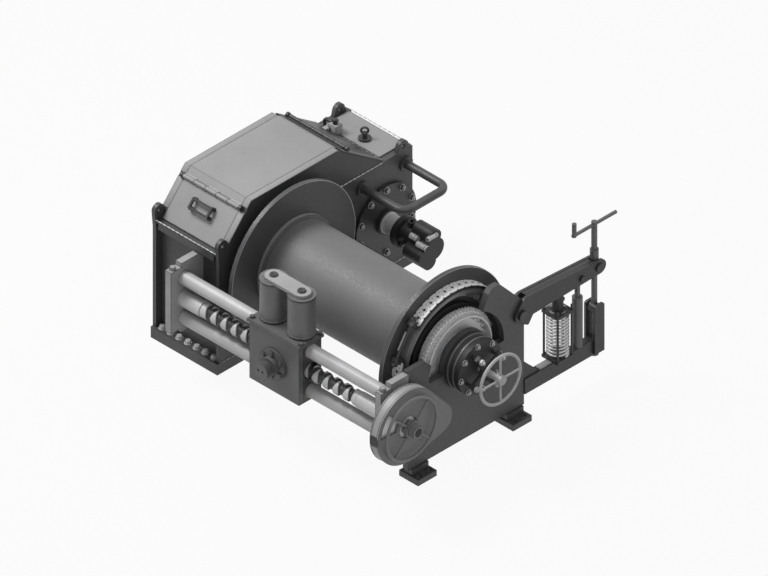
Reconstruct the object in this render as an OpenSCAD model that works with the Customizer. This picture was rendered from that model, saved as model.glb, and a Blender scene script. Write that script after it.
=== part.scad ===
// Deck winch: a geared, motor-driven drum with a dog clutch, a spring band brake and a screw-driven
// level wind. Millimetres. +X runs along the drum towards the clutch end, +Y away from the rope side,
// +Z up. The origin is on the deck, below the middle of the whole machine.

/* [Drum] */
// Height of the drum axis above the deck
axis_h = 453; // [445:1:465]
// Outer radius of the barrel
barrel_r = 200; // [185:1:210]
// Length of the barrel between its flanges
barrel_len = 866; // [820:1:920]
// Wall of the barrel
barrel_wall = 24; // [16:1:32]
// Outer radius of the flanges
flange_r = 365; // [350:1:368]
// Thickness of a flange
flange_t = 18; // [12:1:24]
// Radius of the light collar at the geared end of the barrel
collar_r = 215; // [211:1:225]
// Length of that collar
collar_len = 20; // [10:1:30]
// Free space between the gear case and the drum
case_gap = 70; // [60:1:90]
// Radius of the drum shaft
shaft_r = 55; // [48:1:60]
// Wall of the bushes that the drum runs on
bush_wall = 10; // [6:1:14]
// Radial running clearance of every shaft in its bearing
run_fit = 0.06; // [0.02:0.01:0.1]
// Gap between pieces that meet but are not fixed to each other
seat_gap = 0.3; // [0.2:0.05:0.5]

/* [Brake] */
// Outer radius of the brake drum
brake_r = 290; // [270:1:310]
// Width of the brake drum
brake_w = 58; // [50:1:60]
// Wall of the brake drum
brake_wall = 18; // [12:1:24]
// Thickness of the steel brake band
band_t = 5; // [3:0.5:8]
// Thickness of the lining blocks under the band
lining_t = 9; // [6:1:14]
// Width of the brake band
band_w = 46; // [38:1:48]
// Number of lining blocks round the band
lining_count = 30; // [20:1:36]
// Angle of the band's fixed end, from the rear towards the top
band_start = -28; // [-40:1:0]
// Angle that the band wraps round the drum
band_wrap = 236; // [200:1:250]
// Angle where the band gives way to its adjusting rod
gap_from = 134; // [128:1:140]
// Angle where the band goes on below that rod
gap_to = 160; // [156:1:168]
// Radius of the adjusting rod
band_rod_r = 8; // [6:0.5:9]

/* [Gear case] */
// Length of the gear case along the drum axis
case_len = 393; // [370:1:420]
// Thickness of the side plates
plate_t = 20; // [14:1:24]
// Front face of the side plates, from the drum axis
case_front = 349; // [345:1:356]
// Rear face of the side plates, from the drum axis
case_rear = 789; // [780:1:820]
// Height of the base below the side plates
base_h = 55; // [45:1:65]
// How far the front of the base stands out past the side plates
base_toe = 12; // [8:1:20]
// Height of the shoulder where the covers begin
shoulder_h = 600; // [590:1:610]
// Room between the drum gear and the flat top of the case
crest_room = 36; // [30:1:50]
// Foot of the front slope, from the drum axis
slope_foot = 321; // [315:1:330]
// Front end of the flat top, from the drum axis
crest_front = 159; // [150:1:170]
// Rear end of the flat top, from the drum axis
crest_rear = 353; // [340:1:370]
// Foot of the rear slope, from the drum axis
back_foot = 620; // [600:1:635]
// Width of the rim that frames the covers
rim_w = 33; // [26:1:40]
// Thickness of that rim
rim_t = 12; // [8:1:16]
// Thickness of the cover sheets
sheet_t = 6; // [4:0.5:8]
// How far the covers stand above the rim
cover_rise = 5; // [3:0.5:8]
// Set-back of the front wall behind the side plates
wall_setback = 34; // [26:1:44]
// Thickness of the front, rear and lower walls
wall_t = 12; // [8:1:16]

/* [Lifting lugs] */
// Front lugs, from the drum axis
lug_front = 328; // [326:1:332]
// Height of the eye of a front lug
lug_front_h = 642; // [640:1:650]
// Rear lugs, from the drum axis
lug_rear = 736; // [730:1:738]
// Height of the eye of a rear lug
lug_rear_h = 622; // [618:1:630]
// Outer radius of a lug
lug_r = 28; // [24:1:32]
// Radius of the eye of a lug
lug_eye_r = 11; // [8:0.5:13]

/* [Hatch] */
// Distance of the hinge from the crest, down the slope
hinge_drop = 46; // [40:1:56]
// Radius of the hinge knuckles
knuckle_r = 9; // [8:0.5:11]
// Radius of the hinge pin
hinge_pin_r = 4; // [3:0.5:5]
// Radius of the round knobs on the ends of the pin
knob_r = 12; // [10:1:16]
// Length of the loop handle
loop_len = 115; // [90:1:140]
// Depth of the loop handle, up the slope
loop_depth = 52; // [40:1:64]
// Radius of the bar of the loop handle
loop_bar_r = 5; // [4:0.5:7]

/* [Gear train] */
// Module of the drum gear and its pinion
bull_m = 10; // [9:0.5:10]
// Teeth of the drum gear
bull_teeth = 58; // [54:1:59]
// Teeth of the countershaft pinion
counter_pinion_teeth = 17; // [16:1:18]
// Width of the drum gear
bull_w = 70; // [50:1:80]
// Module of the countershaft gear and motor pinion
counter_m = 8; // [7:0.5:8]
// Teeth of the countershaft gear
counter_teeth = 48; // [44:1:50]
// Teeth of the motor pinion
motor_pinion_teeth = 18; // [16:1:20]
// Width of the countershaft gear
counter_w = 56; // [40:1:64]
// Fall of the line from the drum axis to the countershaft
counter_fall = 13.2; // [10:0.1:16]
// Fall of the line from the countershaft to the motor
motor_fall = 13.9; // [10:0.1:18]
// Radius of the countershaft
counter_r = 34; // [28:1:36]
// Radius of the motor shaft
motor_shaft_r = 22; // [18:1:26]

/* [Motor] */
// Radius of the round motor plate on the gear case
motor_plate_r = 177; // [165:1:180]
// Thickness of that plate
motor_plate_t = 14; // [10:1:20]
// Radius of the motor neck
motor_neck_r = 45; // [40:1:50]
// Length of the motor neck
motor_neck_len = 90; // [70:1:110]
// Radius of the lobed motor body
motor_r = 97; // [88:1:104]
// Length of the lobed motor body
motor_len = 100; // [90:1:112]
// Length of the port section between the collar and the body
port_len = 72; // [60:1:84]

/* [Tube guard] */
// Radius of the guard tube
guard_r = 19; // [16:1:22]
// How far the guard reaches from the gear case
guard_reach = 267; // [240:1:290]
// Distance between the legs of the guard
guard_span = 255; // [230:1:280]
// Height of the guard
guard_h = 530; // [515:1:545]
// Front leg of the guard, from the drum axis
guard_front = 492; // [480:1:505]
// Bend radius of the guard tube
guard_bend = 46; // [40:1:60]

/* [Level wind] */
// Rods and screw, in front of the drum axis
wind_y = 434; // [430:1:440]
// Height of the upper guide rod
rod_top_h = 476; // [470:1:482]
// Height of the cross-cut screw
screw_h = 373; // [368:1:378]
// Height of the lower guide rod
rod_low_h = 276; // [270:1:282]
// Radius of a guide rod
rod_r = 31; // [27:1:33]
// Outer radius of the screw
screw_r = 34; // [30:1:36]
// Radius at the bottom of the screw's grooves
groove_r = 25; // [22:1:28]
// Distance that the groove advances in a turn
screw_lead = 60; // [50:1:70]
// Width of the groove, along the screw
groove_w = 17; // [13:1:20]
// How far the grooves run on past the left end of the travel
groove_left = 120; // [110:5:130]
// Radius of the plain ends of the screw
screw_end_r = 37; // [35:1:39]
// How far the grooves run on past the right end of the travel
groove_right = 40; // [30:5:60]
// Thickness of the two end brackets
bracket_t = 35; // [28:1:40]
// Left bracket, behind the face of the gear case
bracket_inset = 126; // [120:1:140]
// Front face of the brackets, from the drum axis
bracket_front = 508; // [502:1:514]
// Height of the tall rear part of the brackets
bracket_tall = 350; // [335:1:360]
// Height of the front caps of the brackets
bracket_low = 310; // [300:1:322]
// Depth of the front cap
bracket_cap_d = 62; // [56:1:70]
// Wall of the bronze bushes in the carriage
rod_bush_wall = 5; // [3:0.5:6]

/* [Carriage] */
// Length of the carriage along the rods
carriage_len = 292; // [280:1:310]
// Front face of the carriage, from the drum axis
carriage_front = 504; // [500:1:510]
// Rear face of the carriage, from the drum axis
carriage_rear = 372; // [370:1:378]
// Bottom of the carriage
carriage_low = 228; // [222:1:234]
// Height of the top face of the carriage
carriage_top = 517; // [513:1:524]
// Thickness of the front plate of the carriage
front_plate_t = 25; // [18:1:30]
// Thickness of the top plate of the carriage
top_plate_t = 14; // [10:1:18]
// How far the top plate overhangs
top_overhang = 8; // [5:1:12]
// Middle of the carriage, from the face of the gear case
carriage_x = 478; // [470:1:490]
// Travel of the carriage towards the gear case
travel_left = 340; // [300:5:345]
// Travel of the carriage towards the clutch end
travel_right = 380; // [340:5:385]
// Radius of the cap flange on the front of the carriage
follower_flange_r = 72; // [64:1:78]
// Radius of the neck of the follower
follower_neck_r = 30; // [26:1:32]
// Radius of the turning disc on the follower
follower_disc_r = 41; // [38:1:46]
// How far the follower stands out in front
follower_out = 82; // [74:1:90]

/* [Rollers] */
// Outer radius of the upright rollers
roller_r = 60; // [54:1:62]
// Length of the rollers
roller_len = 200; // [180:1:220]
// Distance between the roller axes
roller_pitch = 165; // [156:1:172]
// Roller axes, in front of the drum axis
roller_y = 424; // [421:1:432]
// Radius of the roller pins
roller_pin_r = 18; // [14:1:22]
// Width of the link plate over the rollers
link_w = 84; // [74:1:94]
// Thickness of the link plate
link_t = 12; // [8:1:16]

/* [Level wind drive] */
// Module of the level wind gears
wind_m = 6; // [5.5:0.5:6]
// Teeth of the ring gear on the drum
ring_teeth = 68; // [66:1:69]
// Teeth of the idler gear
idler_teeth = 26; // [25:1:28]
// Teeth of the small pinion in the casing
small_teeth = 16; // [16:1:17]
// Teeth of the large gear on the screw
screw_teeth = 50; // [48:1:51]
// Width of the ring gear
ring_w = 45; // [35:1:50]
// Width of the gears in the casing
casing_gear_w = 24; // [18:1:28]
// Radius of the idler shaft
idler_r = 16; // [12:1:17]
// Radius of the round gear casing
casing_r = 177; // [172:1:184]
// Radius of the small end of the casing
casing_small_r = 72; // [66:1:78]
// Depth of the gear casing
casing_d = 50; // [44:1:56]
// Space between the stand and the gear casing
casing_gap = 40; // [30:1:50]
// Radius of the level wind handwheel
wind_wheel_r = 153; // [140:1:165]
// Radius of the rim bar of the handwheels
wheel_bar_r = 7; // [5:0.5:9]

/* [Stand] */
// Thickness of the stand plate
stand_t = 30; // [24:1:34]
// Space between the drum flange and the stand plate
stand_gap = 105; // [102:1:112]
// Front edge of the stand, from the drum axis
stand_front = 345; // [340:1:350]
// Rear edge of the stand, from the drum axis
stand_rear = 339; // [332:1:346]
// Height of the front shoulder of the stand
stand_shoulder = 560; // [550:1:570]
// Height of the rear horn of the stand
horn_h = 740; // [725:1:750]
// Radius of the round throat of the stand
throat_r = 220; // [214:1:228]
// Height of a foot
foot_h = 58; // [50:1:64]
// Width of a foot, across the drum axis
foot_w = 110; // [96:1:124]
// Length of a foot, along the drum axis
foot_len = 112; // [100:1:124]
// Feet, from the drum axis
foot_y = 280; // [270:1:284]
// Radius of the holding-down holes
deck_bolt_r = 13; // [9:0.5:14]

/* [Clutch] */
// Radius of the outboard bearing housing
housing_r = 128; // [122:1:134]
// Length of that housing in front of the stand
housing_len = 80; // [70:1:90]
// Radius of the shaft journal in the housing
journal_r = 35; // [30:1:40]
// Outer radius of the ball bearing
bearing_r = 62; // [58:1:66]
// Tip radius of the clutch teeth
clutch_r = 172; // [166:1:176]
// Number of clutch teeth
clutch_teeth = 24; // [18:2:30]
// Height of the clutch teeth
clutch_tooth_h = 9; // [7:0.5:11]
// Width of the clutch teeth
clutch_w = 16; // [12:1:18]
// Stroke of the clutch
clutch_stroke = 22; // [20:0.5:24]
// Radius of the circle of pull rods
pull_circle_r = 88; // [84:1:94]
// Radius of a pull rod
pull_rod_r = 8; // [6:0.5:10]
// Radius of the clutch handwheel
clutch_wheel_r = 123; // [110:1:130]
// Distance of the clutch handwheel from the stand
clutch_wheel_out = 200; // [190:1:215]

/* [Brake lever] */
// Pivot of the lever, behind the drum axis
pivot_y = 315; // [308:1:320]
// Height of the pivot
pivot_h = 530; // [522:1:540]
// Radius of the pivot pin
pivot_r = 16; // [12:1:20]
// Rounded end of the lever, behind the drum axis
lever_end = 775; // [765:1:785]
// Height of the end of the lever
lever_end_h = 548; // [540:1:556]
// Half height of the lever at its end
lever_end_r = 34; // [30:1:38]
// Thickness of a lever cheek
lever_t = 14; // [10:1:18]
// Lower bracket: height of its under side
bracket_foot_h = 110; // [100:1:120]
// Lower bracket: depth
bracket_foot_d = 76; // [66:1:84]
// Lower bracket: thickness
bracket_foot_t = 41; // [36:1:46]
// How far the lever goes down when the brake is let off, in degrees
lever_swing = 2.5; // [1.5:0.1:3]

/* [Brake spring] */
// Spring axis, behind the drum axis
spring_y = 553; // [545:1:561]
// Outer radius of the spring
spring_r = 49; // [44:1:52]
// Radius of the spring wire
spring_wire_r = 5; // [4:0.5:5.5]
// Number of curls
spring_turns = 12; // [8:1:13]
// Height of the spring
spring_len = 214; // [200:1:224]
// Side of the square plate on the spring
spring_plate = 96; // [84:1:104]
// Strut axis, behind the drum axis
strut_y = 668; // [660:1:676]
// Radius of the strut body
strut_r = 23; // [20:1:26]
// Radius of the strut rod
strut_rod_r = 12; // [9:1:14]
// Spindle axis, behind the drum axis
spindle_y = 768; // [760:1:776]
// Radius of the spindle
spindle_r = 13; // [11:1:15]
// Height of the crossbar of the spindle
crossbar_h = 755; // [740:1:770]
// Length of the crossbar
crossbar_len = 256; // [230:1:280]

/* [Hidden] */
$fn = 48;
bolt_af = 22; // across flats of the usual bolt heads
bolt_h = 11; // height of those heads
wheel_hub_half = 16; // half length of the clutch handwheel's hub
drum_left = case_gap + flange_t; // left end of the barrel
drum_right = drum_left + barrel_len; // right end of the barrel
flange_face = drum_right + flange_t; // outer face of the right flange
stand_back = flange_face + stand_gap; // back face of the stand
stand_face = stand_back + stand_t; // front face of the stand
casing_back = stand_face + casing_gap;
casing_face = casing_back + casing_d;
housing_face = stand_face + housing_len;
clutch_wheel_x = stand_face + clutch_wheel_out;
bracket_left = -bracket_inset; // right face of the left bracket
bracket_right = stand_back - seat_gap; // left face of the right bracket block
outer_x = -case_len;
wind_wheel_x = casing_face + 22;
wind_hub_x = casing_face + 62;
bull_pitch_r = bull_m * bull_teeth / 2;
crest_h = axis_h + bull_pitch_r + 0.8 * bull_m + crest_room; // height of the flat top
counter_centre = bull_m * (bull_teeth + counter_pinion_teeth) / 2;
counter_y = counter_centre * cos(counter_fall);
counter_h = axis_h - counter_centre * sin(counter_fall);
motor_centre = counter_m * (counter_teeth + motor_pinion_teeth) / 2;
motor_y = counter_y + motor_centre * cos(motor_fall);
motor_h = counter_h - motor_centre * sin(motor_fall);
bull_x = -wall_t - plate_t - bull_w - 30; // left face of the drum gear
counter_x = bull_x - 40 - counter_w; // left face of the countershaft gear
ring_centre = wind_m * (ring_teeth + idler_teeth) / 2;
small_centre = wind_m * (small_teeth + screw_teeth) / 2;
screw_far = sqrt(pow(wind_y, 2) + pow(axis_h - screw_h, 2));
idler_along = (pow(ring_centre, 2) - pow(small_centre, 2) + pow(screw_far, 2)) / (2 * screw_far);
idler_off = sqrt(pow(ring_centre, 2) - pow(idler_along, 2));
to_screw = [-wind_y, screw_h - axis_h] / screw_far;
idler_y = to_screw[0] * idler_along - to_screw[1] * idler_off;
idler_h = axis_h + to_screw[1] * idler_along + to_screw[0] * idler_off;
ring_x = stand_back - 5 - ring_w; // left face of the ring gear
slope_angle = atan2(crest_h - shoulder_h, slope_foot - crest_front);
slope_len = norm([crest_h - shoulder_h, slope_foot - crest_front]);
cap_x = outer_x / 2 + 28; // filler cap on the rear cover
cap_y = back_foot + 56;
hub_step_r = 213; // wide step of the drum's hub
hub_r = 150; // hub that carries the ring gear
leaf_w = 14; // leaf of the hatch hinge on each cover
cover_skirt = 28; // depth of a cover's turned-down sides
boss_r = counter_r + 28; // boss of the countershaft gear
bolt_margin = 24; // first deck bolt from the side plate
bolt_pitch = (case_len - 2 * plate_t - 2 * bolt_margin) / 6;
lug_rise = 22; // eye of a band lug above the lining
lug_d = 26; // width of a band lug along the band
lever_slot = stand_t + 2 * seat_gap; // room between the cheeks of the lever
window_half = 20.5; // half angle of the window in the casing cover
trunnion_r = 20; // trunnion of the spindle in the lever
fork_w = 56; // fork that holds the spindle on the fixed arm
fork_t = 12;
fork_top = 360;
yoke_clear = 30; // room left before the handwheel's hub at full stroke
screw_start = carriage_x - travel_left - groove_left;
screw_len = travel_left + travel_right + groove_left + groove_right;
back_angle = atan2(crest_h - shoulder_h, back_foot - crest_rear);
cover_left = outer_x + rim_w + seat_gap;
cover_right = -rim_w - seat_gap;
cover_w = cover_right - cover_left;
motor_collar_t = 24; // collar between the neck and the port section
motor_core_r = motor_r * 0.55;
motor_end = motor_plate_t + motor_neck_len + motor_collar_t + port_len + motor_len;
plug_r = 13; // plugs on the motor body
spring_foot = bracket_foot_h + bracket_foot_d + 14;
spring_top = spring_foot + spring_len;
// Right end, front, rear and top of the whole machine, which set the origin
machine_right = clutch_wheel_x + wheel_hub_half;
machine_left = outer_x;
machine_front = max(carriage_front + follower_out, wind_y + casing_r);
machine_rear = max(spindle_y + crossbar_len / 2, lever_end + lever_end_r);
mid_x = (machine_left + machine_right) / 2;
mid_y = (machine_rear - machine_front) / 2;

// Places what is modelled from the gear case face and the drum axis on the machine's own origin
module placed() {
  translate([-mid_x, -mid_y, 0]) children();
}

// A round bar along X
module bar_x(r, from, to, y = 0, z = 0, inner = 0) {
  translate([from, y, z]) rotate([0, 90, 0]) difference() {
    cylinder(r = r, h = to - from);
    if (inner > 0) translate([0, 0, -1]) cylinder(r = inner, h = to - from + 2);
  }
}

// A round bar along Y
module bar_y(r, x, from, to, z) {
  translate([x, from, z]) rotate([-90, 0, 0]) cylinder(r = r, h = to - from);
}

// A plate whose outline is drawn in Y and Z, standing across X
module plate_x(from, t) {
  translate([from, 0, 0]) rotate([90, 0, 90]) linear_extrude(height = t) children();
}

// A hexagon head pointing along +Z
module head(af = bolt_af, h = bolt_h) {
  cylinder(r = af / sqrt(3), h = h, $fn = 6);
}

// Heads in a ring round X, standing on the face at x
module head_ring(x, r, count, y = 0, z = 0, first = 0, af = bolt_af, h = bolt_h, turn = 1) {
  for (i = [0 : count - 1]) {
    a = first + i * 360 / count;
    translate([x, y + r * cos(a), z + r * sin(a)]) rotate([0, turn * 90, 0]) head(af, h);
  }
}

// Involute gear outline: straight chords on a true involute, with backlash and short teeth
function inv_angle(rb, r) = r <= rb ? 0 : sqrt(r * r / (rb * rb) - 1) * 180 / PI - acos(rb / r);
function flank(m, n, r, half) = let (rb = m * n / 2 * cos(20))
  half + inv_angle(rb, m * n / 2) - inv_angle(rb, r);
module gear_outline(m, n, turn = 0) {
  pitch = m * n / 2;
  tip = pitch + 0.8 * m;
  root = pitch - 1.1 * m;
  half = 90 / n * 0.88;
  rs = [root, max(root + 0.2 * m, pitch - 0.5 * m), pitch, tip];
  polygon([for (i = [0 : n - 1], k = [0 : 7]) let (
      r = rs[k < 4 ? k : 7 - k],
      side = k < 4 ? -1 : 1,
      a = turn + i * 360 / n + side * flank(m, n, r, half))
    [r * cos(a), r * sin(a)]]);
}
module gear(m, n, w, bore, x, y, z, turn = 0) {
  translate([x, y, z]) rotate([90, 0, 90]) difference() {
    linear_extrude(height = w) gear_outline(m, n, turn);
    translate([0, 0, -1]) cylinder(r = bore, h = w + 2);
  }
}

// Cuts the web between rim and hub thinner from both sides
module web_cut(x, w, y, z, inner, outer, web) {
  for (from = [x - 1, x + (w + web) / 2])
    bar_x(outer, from, from + (w - web) / 2 + 1, y, z, inner);
}

// Outline of the gear case: front wall, front slope, flat top, rear slope and rear shoulder
function case_outline(drop = 0) = let (s = drop * tan(slope_angle / 2), b = drop * tan(back_angle / 2)) [
  [-case_front, base_h], [-case_front, shoulder_h - drop], [-slope_foot + s, shoulder_h - drop],
  [-crest_front + s, crest_h - drop], [crest_rear - b, crest_h - drop],
  [back_foot - b, shoulder_h - drop], [case_rear, shoulder_h - drop], [case_rear, base_h]];

module lug_outline(y, h) {
  hull() {
    translate([y, h]) circle(r = lug_r);
    translate([max(y - 40, -case_front), shoulder_h - 40]) square([80, 20]);
  }
}

module side_plate(x, rim_x) {
  difference() {
    union() {
      plate_x(x, plate_t) union() {
        polygon(case_outline());
        lug_outline(-lug_front, lug_front_h);
        lug_outline(lug_rear, lug_rear_h);
      }
      // The rim that the covers lie between
      plate_x(rim_x, rim_w) difference() {
        polygon(case_outline());
        polygon(concat([[-case_front - 1, base_h - 1]], [for (p = case_outline(rim_t)) if (p[1] > base_h)
          [p[0] == -case_front ? p[0] - 1 : p[0] == case_rear ? p[0] + 1 : p[0], p[1]]],
          [[case_rear + 1, base_h - 1]]));
      }
    }
    for (eye = [[-lug_front, lug_front_h], [lug_rear, lug_rear_h]])
      bar_x(lug_eye_r, min(x, rim_x) - 1, x + max(plate_t, rim_w) + 1, eye[0], eye[1]);
    children();
  }
}

module outer_side_plate() {
  color([0.2, 0.2, 0.21]) placed() side_plate(outer_x, outer_x) {
    bar_x(shaft_r + 30, outer_x - 1, outer_x + plate_t + 1, 0, axis_h);
    bar_x(counter_r + 24, outer_x - 1, outer_x + plate_t + 1, counter_y, counter_h);
  }
}

module inner_side_plate() {
  color([0.2, 0.2, 0.21]) placed() side_plate(-plate_t, -rim_w) {
    bar_x(shaft_r + 30, -rim_w - 1, 1, 0, axis_h);
    bar_x(counter_r + 24, -plate_t - 1, 1, counter_y, counter_h);
    bar_x(motor_neck_r + 20, -plate_t - 1, 1, motor_y, motor_h);
  }
}

module base() {
  color([0.18, 0.18, 0.19]) placed() difference() {
    translate([outer_x, -case_front - base_toe, 0])
      cube([case_len, case_front + base_toe + case_rear, base_h]);
    // Holes for the deck bolts
    for (x = [outer_x + 60, -60], y = [-case_front + 30, case_rear - 60])
      translate([x, y, -1]) cylinder(r = deck_bolt_r, h = base_h + 2);
  }
}

module case_walls() {
  inside = case_len - 2 * plate_t;
  color([0.22, 0.22, 0.23]) placed() {
    translate([outer_x + plate_t, -case_front + wall_setback, base_h])
      cube([inside, wall_t, shoulder_h - base_h - rim_t]);
    translate([outer_x + plate_t, case_rear - wall_t, base_h])
      cube([inside, wall_t, shoulder_h - base_h - rim_t]);
    // Ledge over the front wall, under the foot of the hatch
    translate([outer_x + rim_w, -case_front, shoulder_h - rim_t])
      cube([case_len - 2 * rim_w, case_front - slope_foot, rim_t]);
    translate([outer_x + rim_w, -case_front, shoulder_h - rim_t - 30])
      cube([case_len - 2 * rim_w, wall_setback + wall_t, 30]);
    // Cross member between the rear slope and the rear cover
    translate([outer_x + rim_w, back_foot, shoulder_h - rim_t])
      cube([case_len - 2 * rim_w, 34, rim_t]);
  }
}

// A point on the front slope: s down from the crest, n out of the cover
function on_slope(s, n) = [-crest_front - s * cos(slope_angle) - n * sin(slope_angle),
  crest_h - s * sin(slope_angle) + n * cos(slope_angle)];

module top_cover() {
  end = hinge_drop - knuckle_r;
  rise = cover_rise;
  low = cover_rise - sheet_t;
  reach = 40;
  color([0.66, 0.66, 0.66]) placed() {
    difference() {
      plate_x(cover_left, cover_w) polygon([on_slope(end, rise), [-crest_front, crest_h + rise],
        [crest_rear, crest_h + rise], [back_foot, shoulder_h + rise], [back_foot, shoulder_h + low - 3],
        [back_foot - cover_skirt, shoulder_h + low - 6], [crest_rear - 6, crest_h - cover_skirt],
        [-crest_front + 6, crest_h - cover_skirt], on_slope(end, low - cover_skirt)]);
      // The hollow under the sheet leaves the turned-down sides standing
      plate_x(cover_left + sheet_t, cover_w - 2 * sheet_t) polygon([
        on_slope(end + reach, low), [-crest_front + 3, crest_h + low],
        [crest_rear - 2, crest_h + low],
        [back_foot + reach * cos(back_angle), shoulder_h + low - reach * sin(back_angle)],
        [back_foot + reach, shoulder_h - 3 * reach], on_slope(end + reach, -3 * reach)]);
    }
    hatch_knuckles(1);
  }
}

// Knuckles of the hatch hinge: part 1 belongs to the top cover, part 0 to the hatch
module hatch_knuckles(part) {
  c = on_slope(hinge_drop, cover_rise + knuckle_r);
  piece = cover_w / 5;
  for (i = [0 : 4]) if ((i % 2 == 0) == (part == 1)) difference() {
    union() {
      from = cover_left + i * piece + seat_gap;
      side = part == 1 ? -1 : 1;
      foot = cover_rise - sheet_t / 2;
      bar_x(knuckle_r, from, from + piece - 2 * seat_gap, c[0], c[1]);
      leaf = [[0, 0], on_slope(hinge_drop + side * (knuckle_r + leaf_w), foot) - c,
        on_slope(hinge_drop + side * (knuckle_r + sheet_t), foot) - c];
      translate([0, c[0], c[1]]) plate_x(from, piece - 2 * seat_gap) polygon(leaf);
    }
    bar_x(hinge_pin_r + run_fit, cover_left - 1, cover_right + 1, c[0], c[1]);
  }
}

module front_hatch() {
  top = hinge_drop + knuckle_r;
  foot = slope_len - 2;
  low = cover_rise - sheet_t;
  color([0.6, 0.6, 0.6]) placed() {
    plate_x(cover_left, cover_w) polygon([on_slope(top, cover_rise),
      on_slope(top, low), on_slope(foot, low), on_slope(foot, cover_rise)]);
    for (x = [cover_left, cover_right - sheet_t]) plate_x(x, sheet_t) polygon([on_slope(top, low + 1),
      on_slope(top + 10, low - 20), on_slope(foot - 24, low - 20), on_slope(foot, low + 1)]);
    hatch_knuckles(0);
  }
}

module hatch_pin() {
  c = on_slope(hinge_drop, cover_rise + knuckle_r);
  color([0.35, 0.35, 0.36]) placed() {
    bar_x(hinge_pin_r, cover_left - 1, cover_right + 1, c[0], c[1]);
    for (x = [cover_left - 1 - 14, cover_right + 1]) bar_x(knob_r, x, x + 14, c[0], c[1]);
  }
}

// Rectangular loop on four feet, on the hatch
module hatch_handle() {
  mid = slope_len * 0.52;
  c = on_slope(mid, cover_rise);
  color([0.3, 0.3, 0.31]) placed() translate([(cover_left + cover_right) / 2, c[0], c[1]])
    rotate([slope_angle, 0, 0]) {
      for (x = [-1, 1], y = [-1, 1])
        translate([x * (loop_len / 2 - loop_bar_r), y * (loop_depth / 2 - loop_bar_r), 0])
          cylinder(r = loop_bar_r + 4, h = 18);
      translate([0, 0, 18]) linear_extrude(height = 2 * loop_bar_r) difference() {
        square([loop_len, loop_depth], center = true);
        square([loop_len - 4 * loop_bar_r, loop_depth - 4 * loop_bar_r], center = true);
      }
    }
}

module rear_cover() {
  from = back_foot + 6;
  to = case_rear - 14;
  color([0.66, 0.66, 0.66]) placed() difference() {
    union() {
      translate([cover_left, from, shoulder_h]) cube([cover_w, to - from, cover_rise]);
      translate([cover_left + 10, from + 34, shoulder_h - 22])
        cube([cover_w - 20, to - from - 44, 23]);
    }
    bar_z(20, cap_x, cap_y, shoulder_h - 30, shoulder_h + 20);
    translate([cover_left + 16, from + 40, shoulder_h - 30])
      cube([cover_w - 32, to - from - 56, 30 - sheet_t + 4]);
  }
}

// A round bar along Z
module bar_z(r, x, y, from, to) {
  translate([x, y, from]) cylinder(r = r, h = to - from);
}

module filler_cap() {
  x = cap_x;
  y = cap_y;
  color([0.3, 0.3, 0.31]) placed() {
    bar_z(20 - seat_gap, x, y, shoulder_h - 10, shoulder_h + cover_rise);
    bar_z(28, x, y, shoulder_h + cover_rise, shoulder_h + cover_rise + 9);
    bar_z(11, x, y, shoulder_h + cover_rise + 9, shoulder_h + cover_rise + 34);
    translate([x, y, shoulder_h + cover_rise + 44]) rotate([90, 0, 45]) rotate_extrude()
      translate([15, 0]) circle(r = 5, $fn = 24);
  }
}

// U tube beside the drum, and the flanges that hold it to the gear case
module tube_guard() {
  y2 = guard_front + guard_span;
  reach = guard_reach - guard_r - guard_bend;
  color([0.2, 0.2, 0.21]) placed() {
    for (y = [guard_front, y2]) {
      bar_x(guard_r, 10, reach, y, guard_h);
      bar_x(guard_r + 16, 0, 10, y, guard_h);
    }
    for (k = [0, 1]) translate([reach, k == 0 ? guard_front + guard_bend : y2 - guard_bend, guard_h])
      mirror([0, k, 0]) rotate([0, 0, -90]) rotate_extrude(angle = 90)
        translate([guard_bend, 0]) circle(r = guard_r);
    bar_y(guard_r, reach + guard_bend, guard_front + guard_bend, y2 - guard_bend, guard_h);
  }
}

module motor_mount_plate() {
  color([0.24, 0.24, 0.25]) placed() {
    difference() {
      bar_x(motor_plate_r, 0, motor_plate_t, motor_y, motor_h);
      bar_x(motor_neck_r - 4, -1, motor_plate_t + 1, motor_y, motor_h);
    }
    head_ring(motor_plate_t, motor_plate_r - 20, 10, motor_y, motor_h, 18);
  }
}

module motor() {
  x1 = motor_plate_t + motor_neck_len;
  x2 = x1 + motor_collar_t;
  x3 = x2 + port_len;
  color([0.6, 0.6, 0.6]) placed() {
    difference() {
      union() {
        bar_x(motor_neck_r + 14, motor_plate_t, motor_plate_t + 12, motor_y, motor_h);
        bar_x(motor_neck_r, motor_plate_t, x1, motor_y, motor_h);
        bar_x(motor_neck_r + 26, x1, x2, motor_y, motor_h);
      }
      bar_x(motor_shaft_r + run_fit, motor_plate_t - 1, x1, motor_y, motor_h);
    }
    port_section(x2);
    // Body: a core with three barrels, and the plugs between them
    plate_x(x3, motor_len) translate([motor_y, motor_h]) union() {
      circle(r = motor_core_r);
      for (a = [90, 200, 240]) rotate(a) translate([motor_r * 0.62, 0]) circle(r = motor_r * 0.38);
    }
    plug_off = motor_core_r + plug_r - 4;
    bar_x(plug_r, x3, x3 + 45, motor_y - plug_off * cos(45), motor_h + plug_off * sin(45));
    bar_x(plug_r, x3 + 49, x3 + motor_len + 14, motor_y - plug_off * cos(30), motor_h + plug_off * sin(30));
    bar_y(plug_r - 3, x3 + motor_len + 2, motor_y - 50, motor_y + 10, motor_h + motor_r * 0.75);
  }
}

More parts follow.
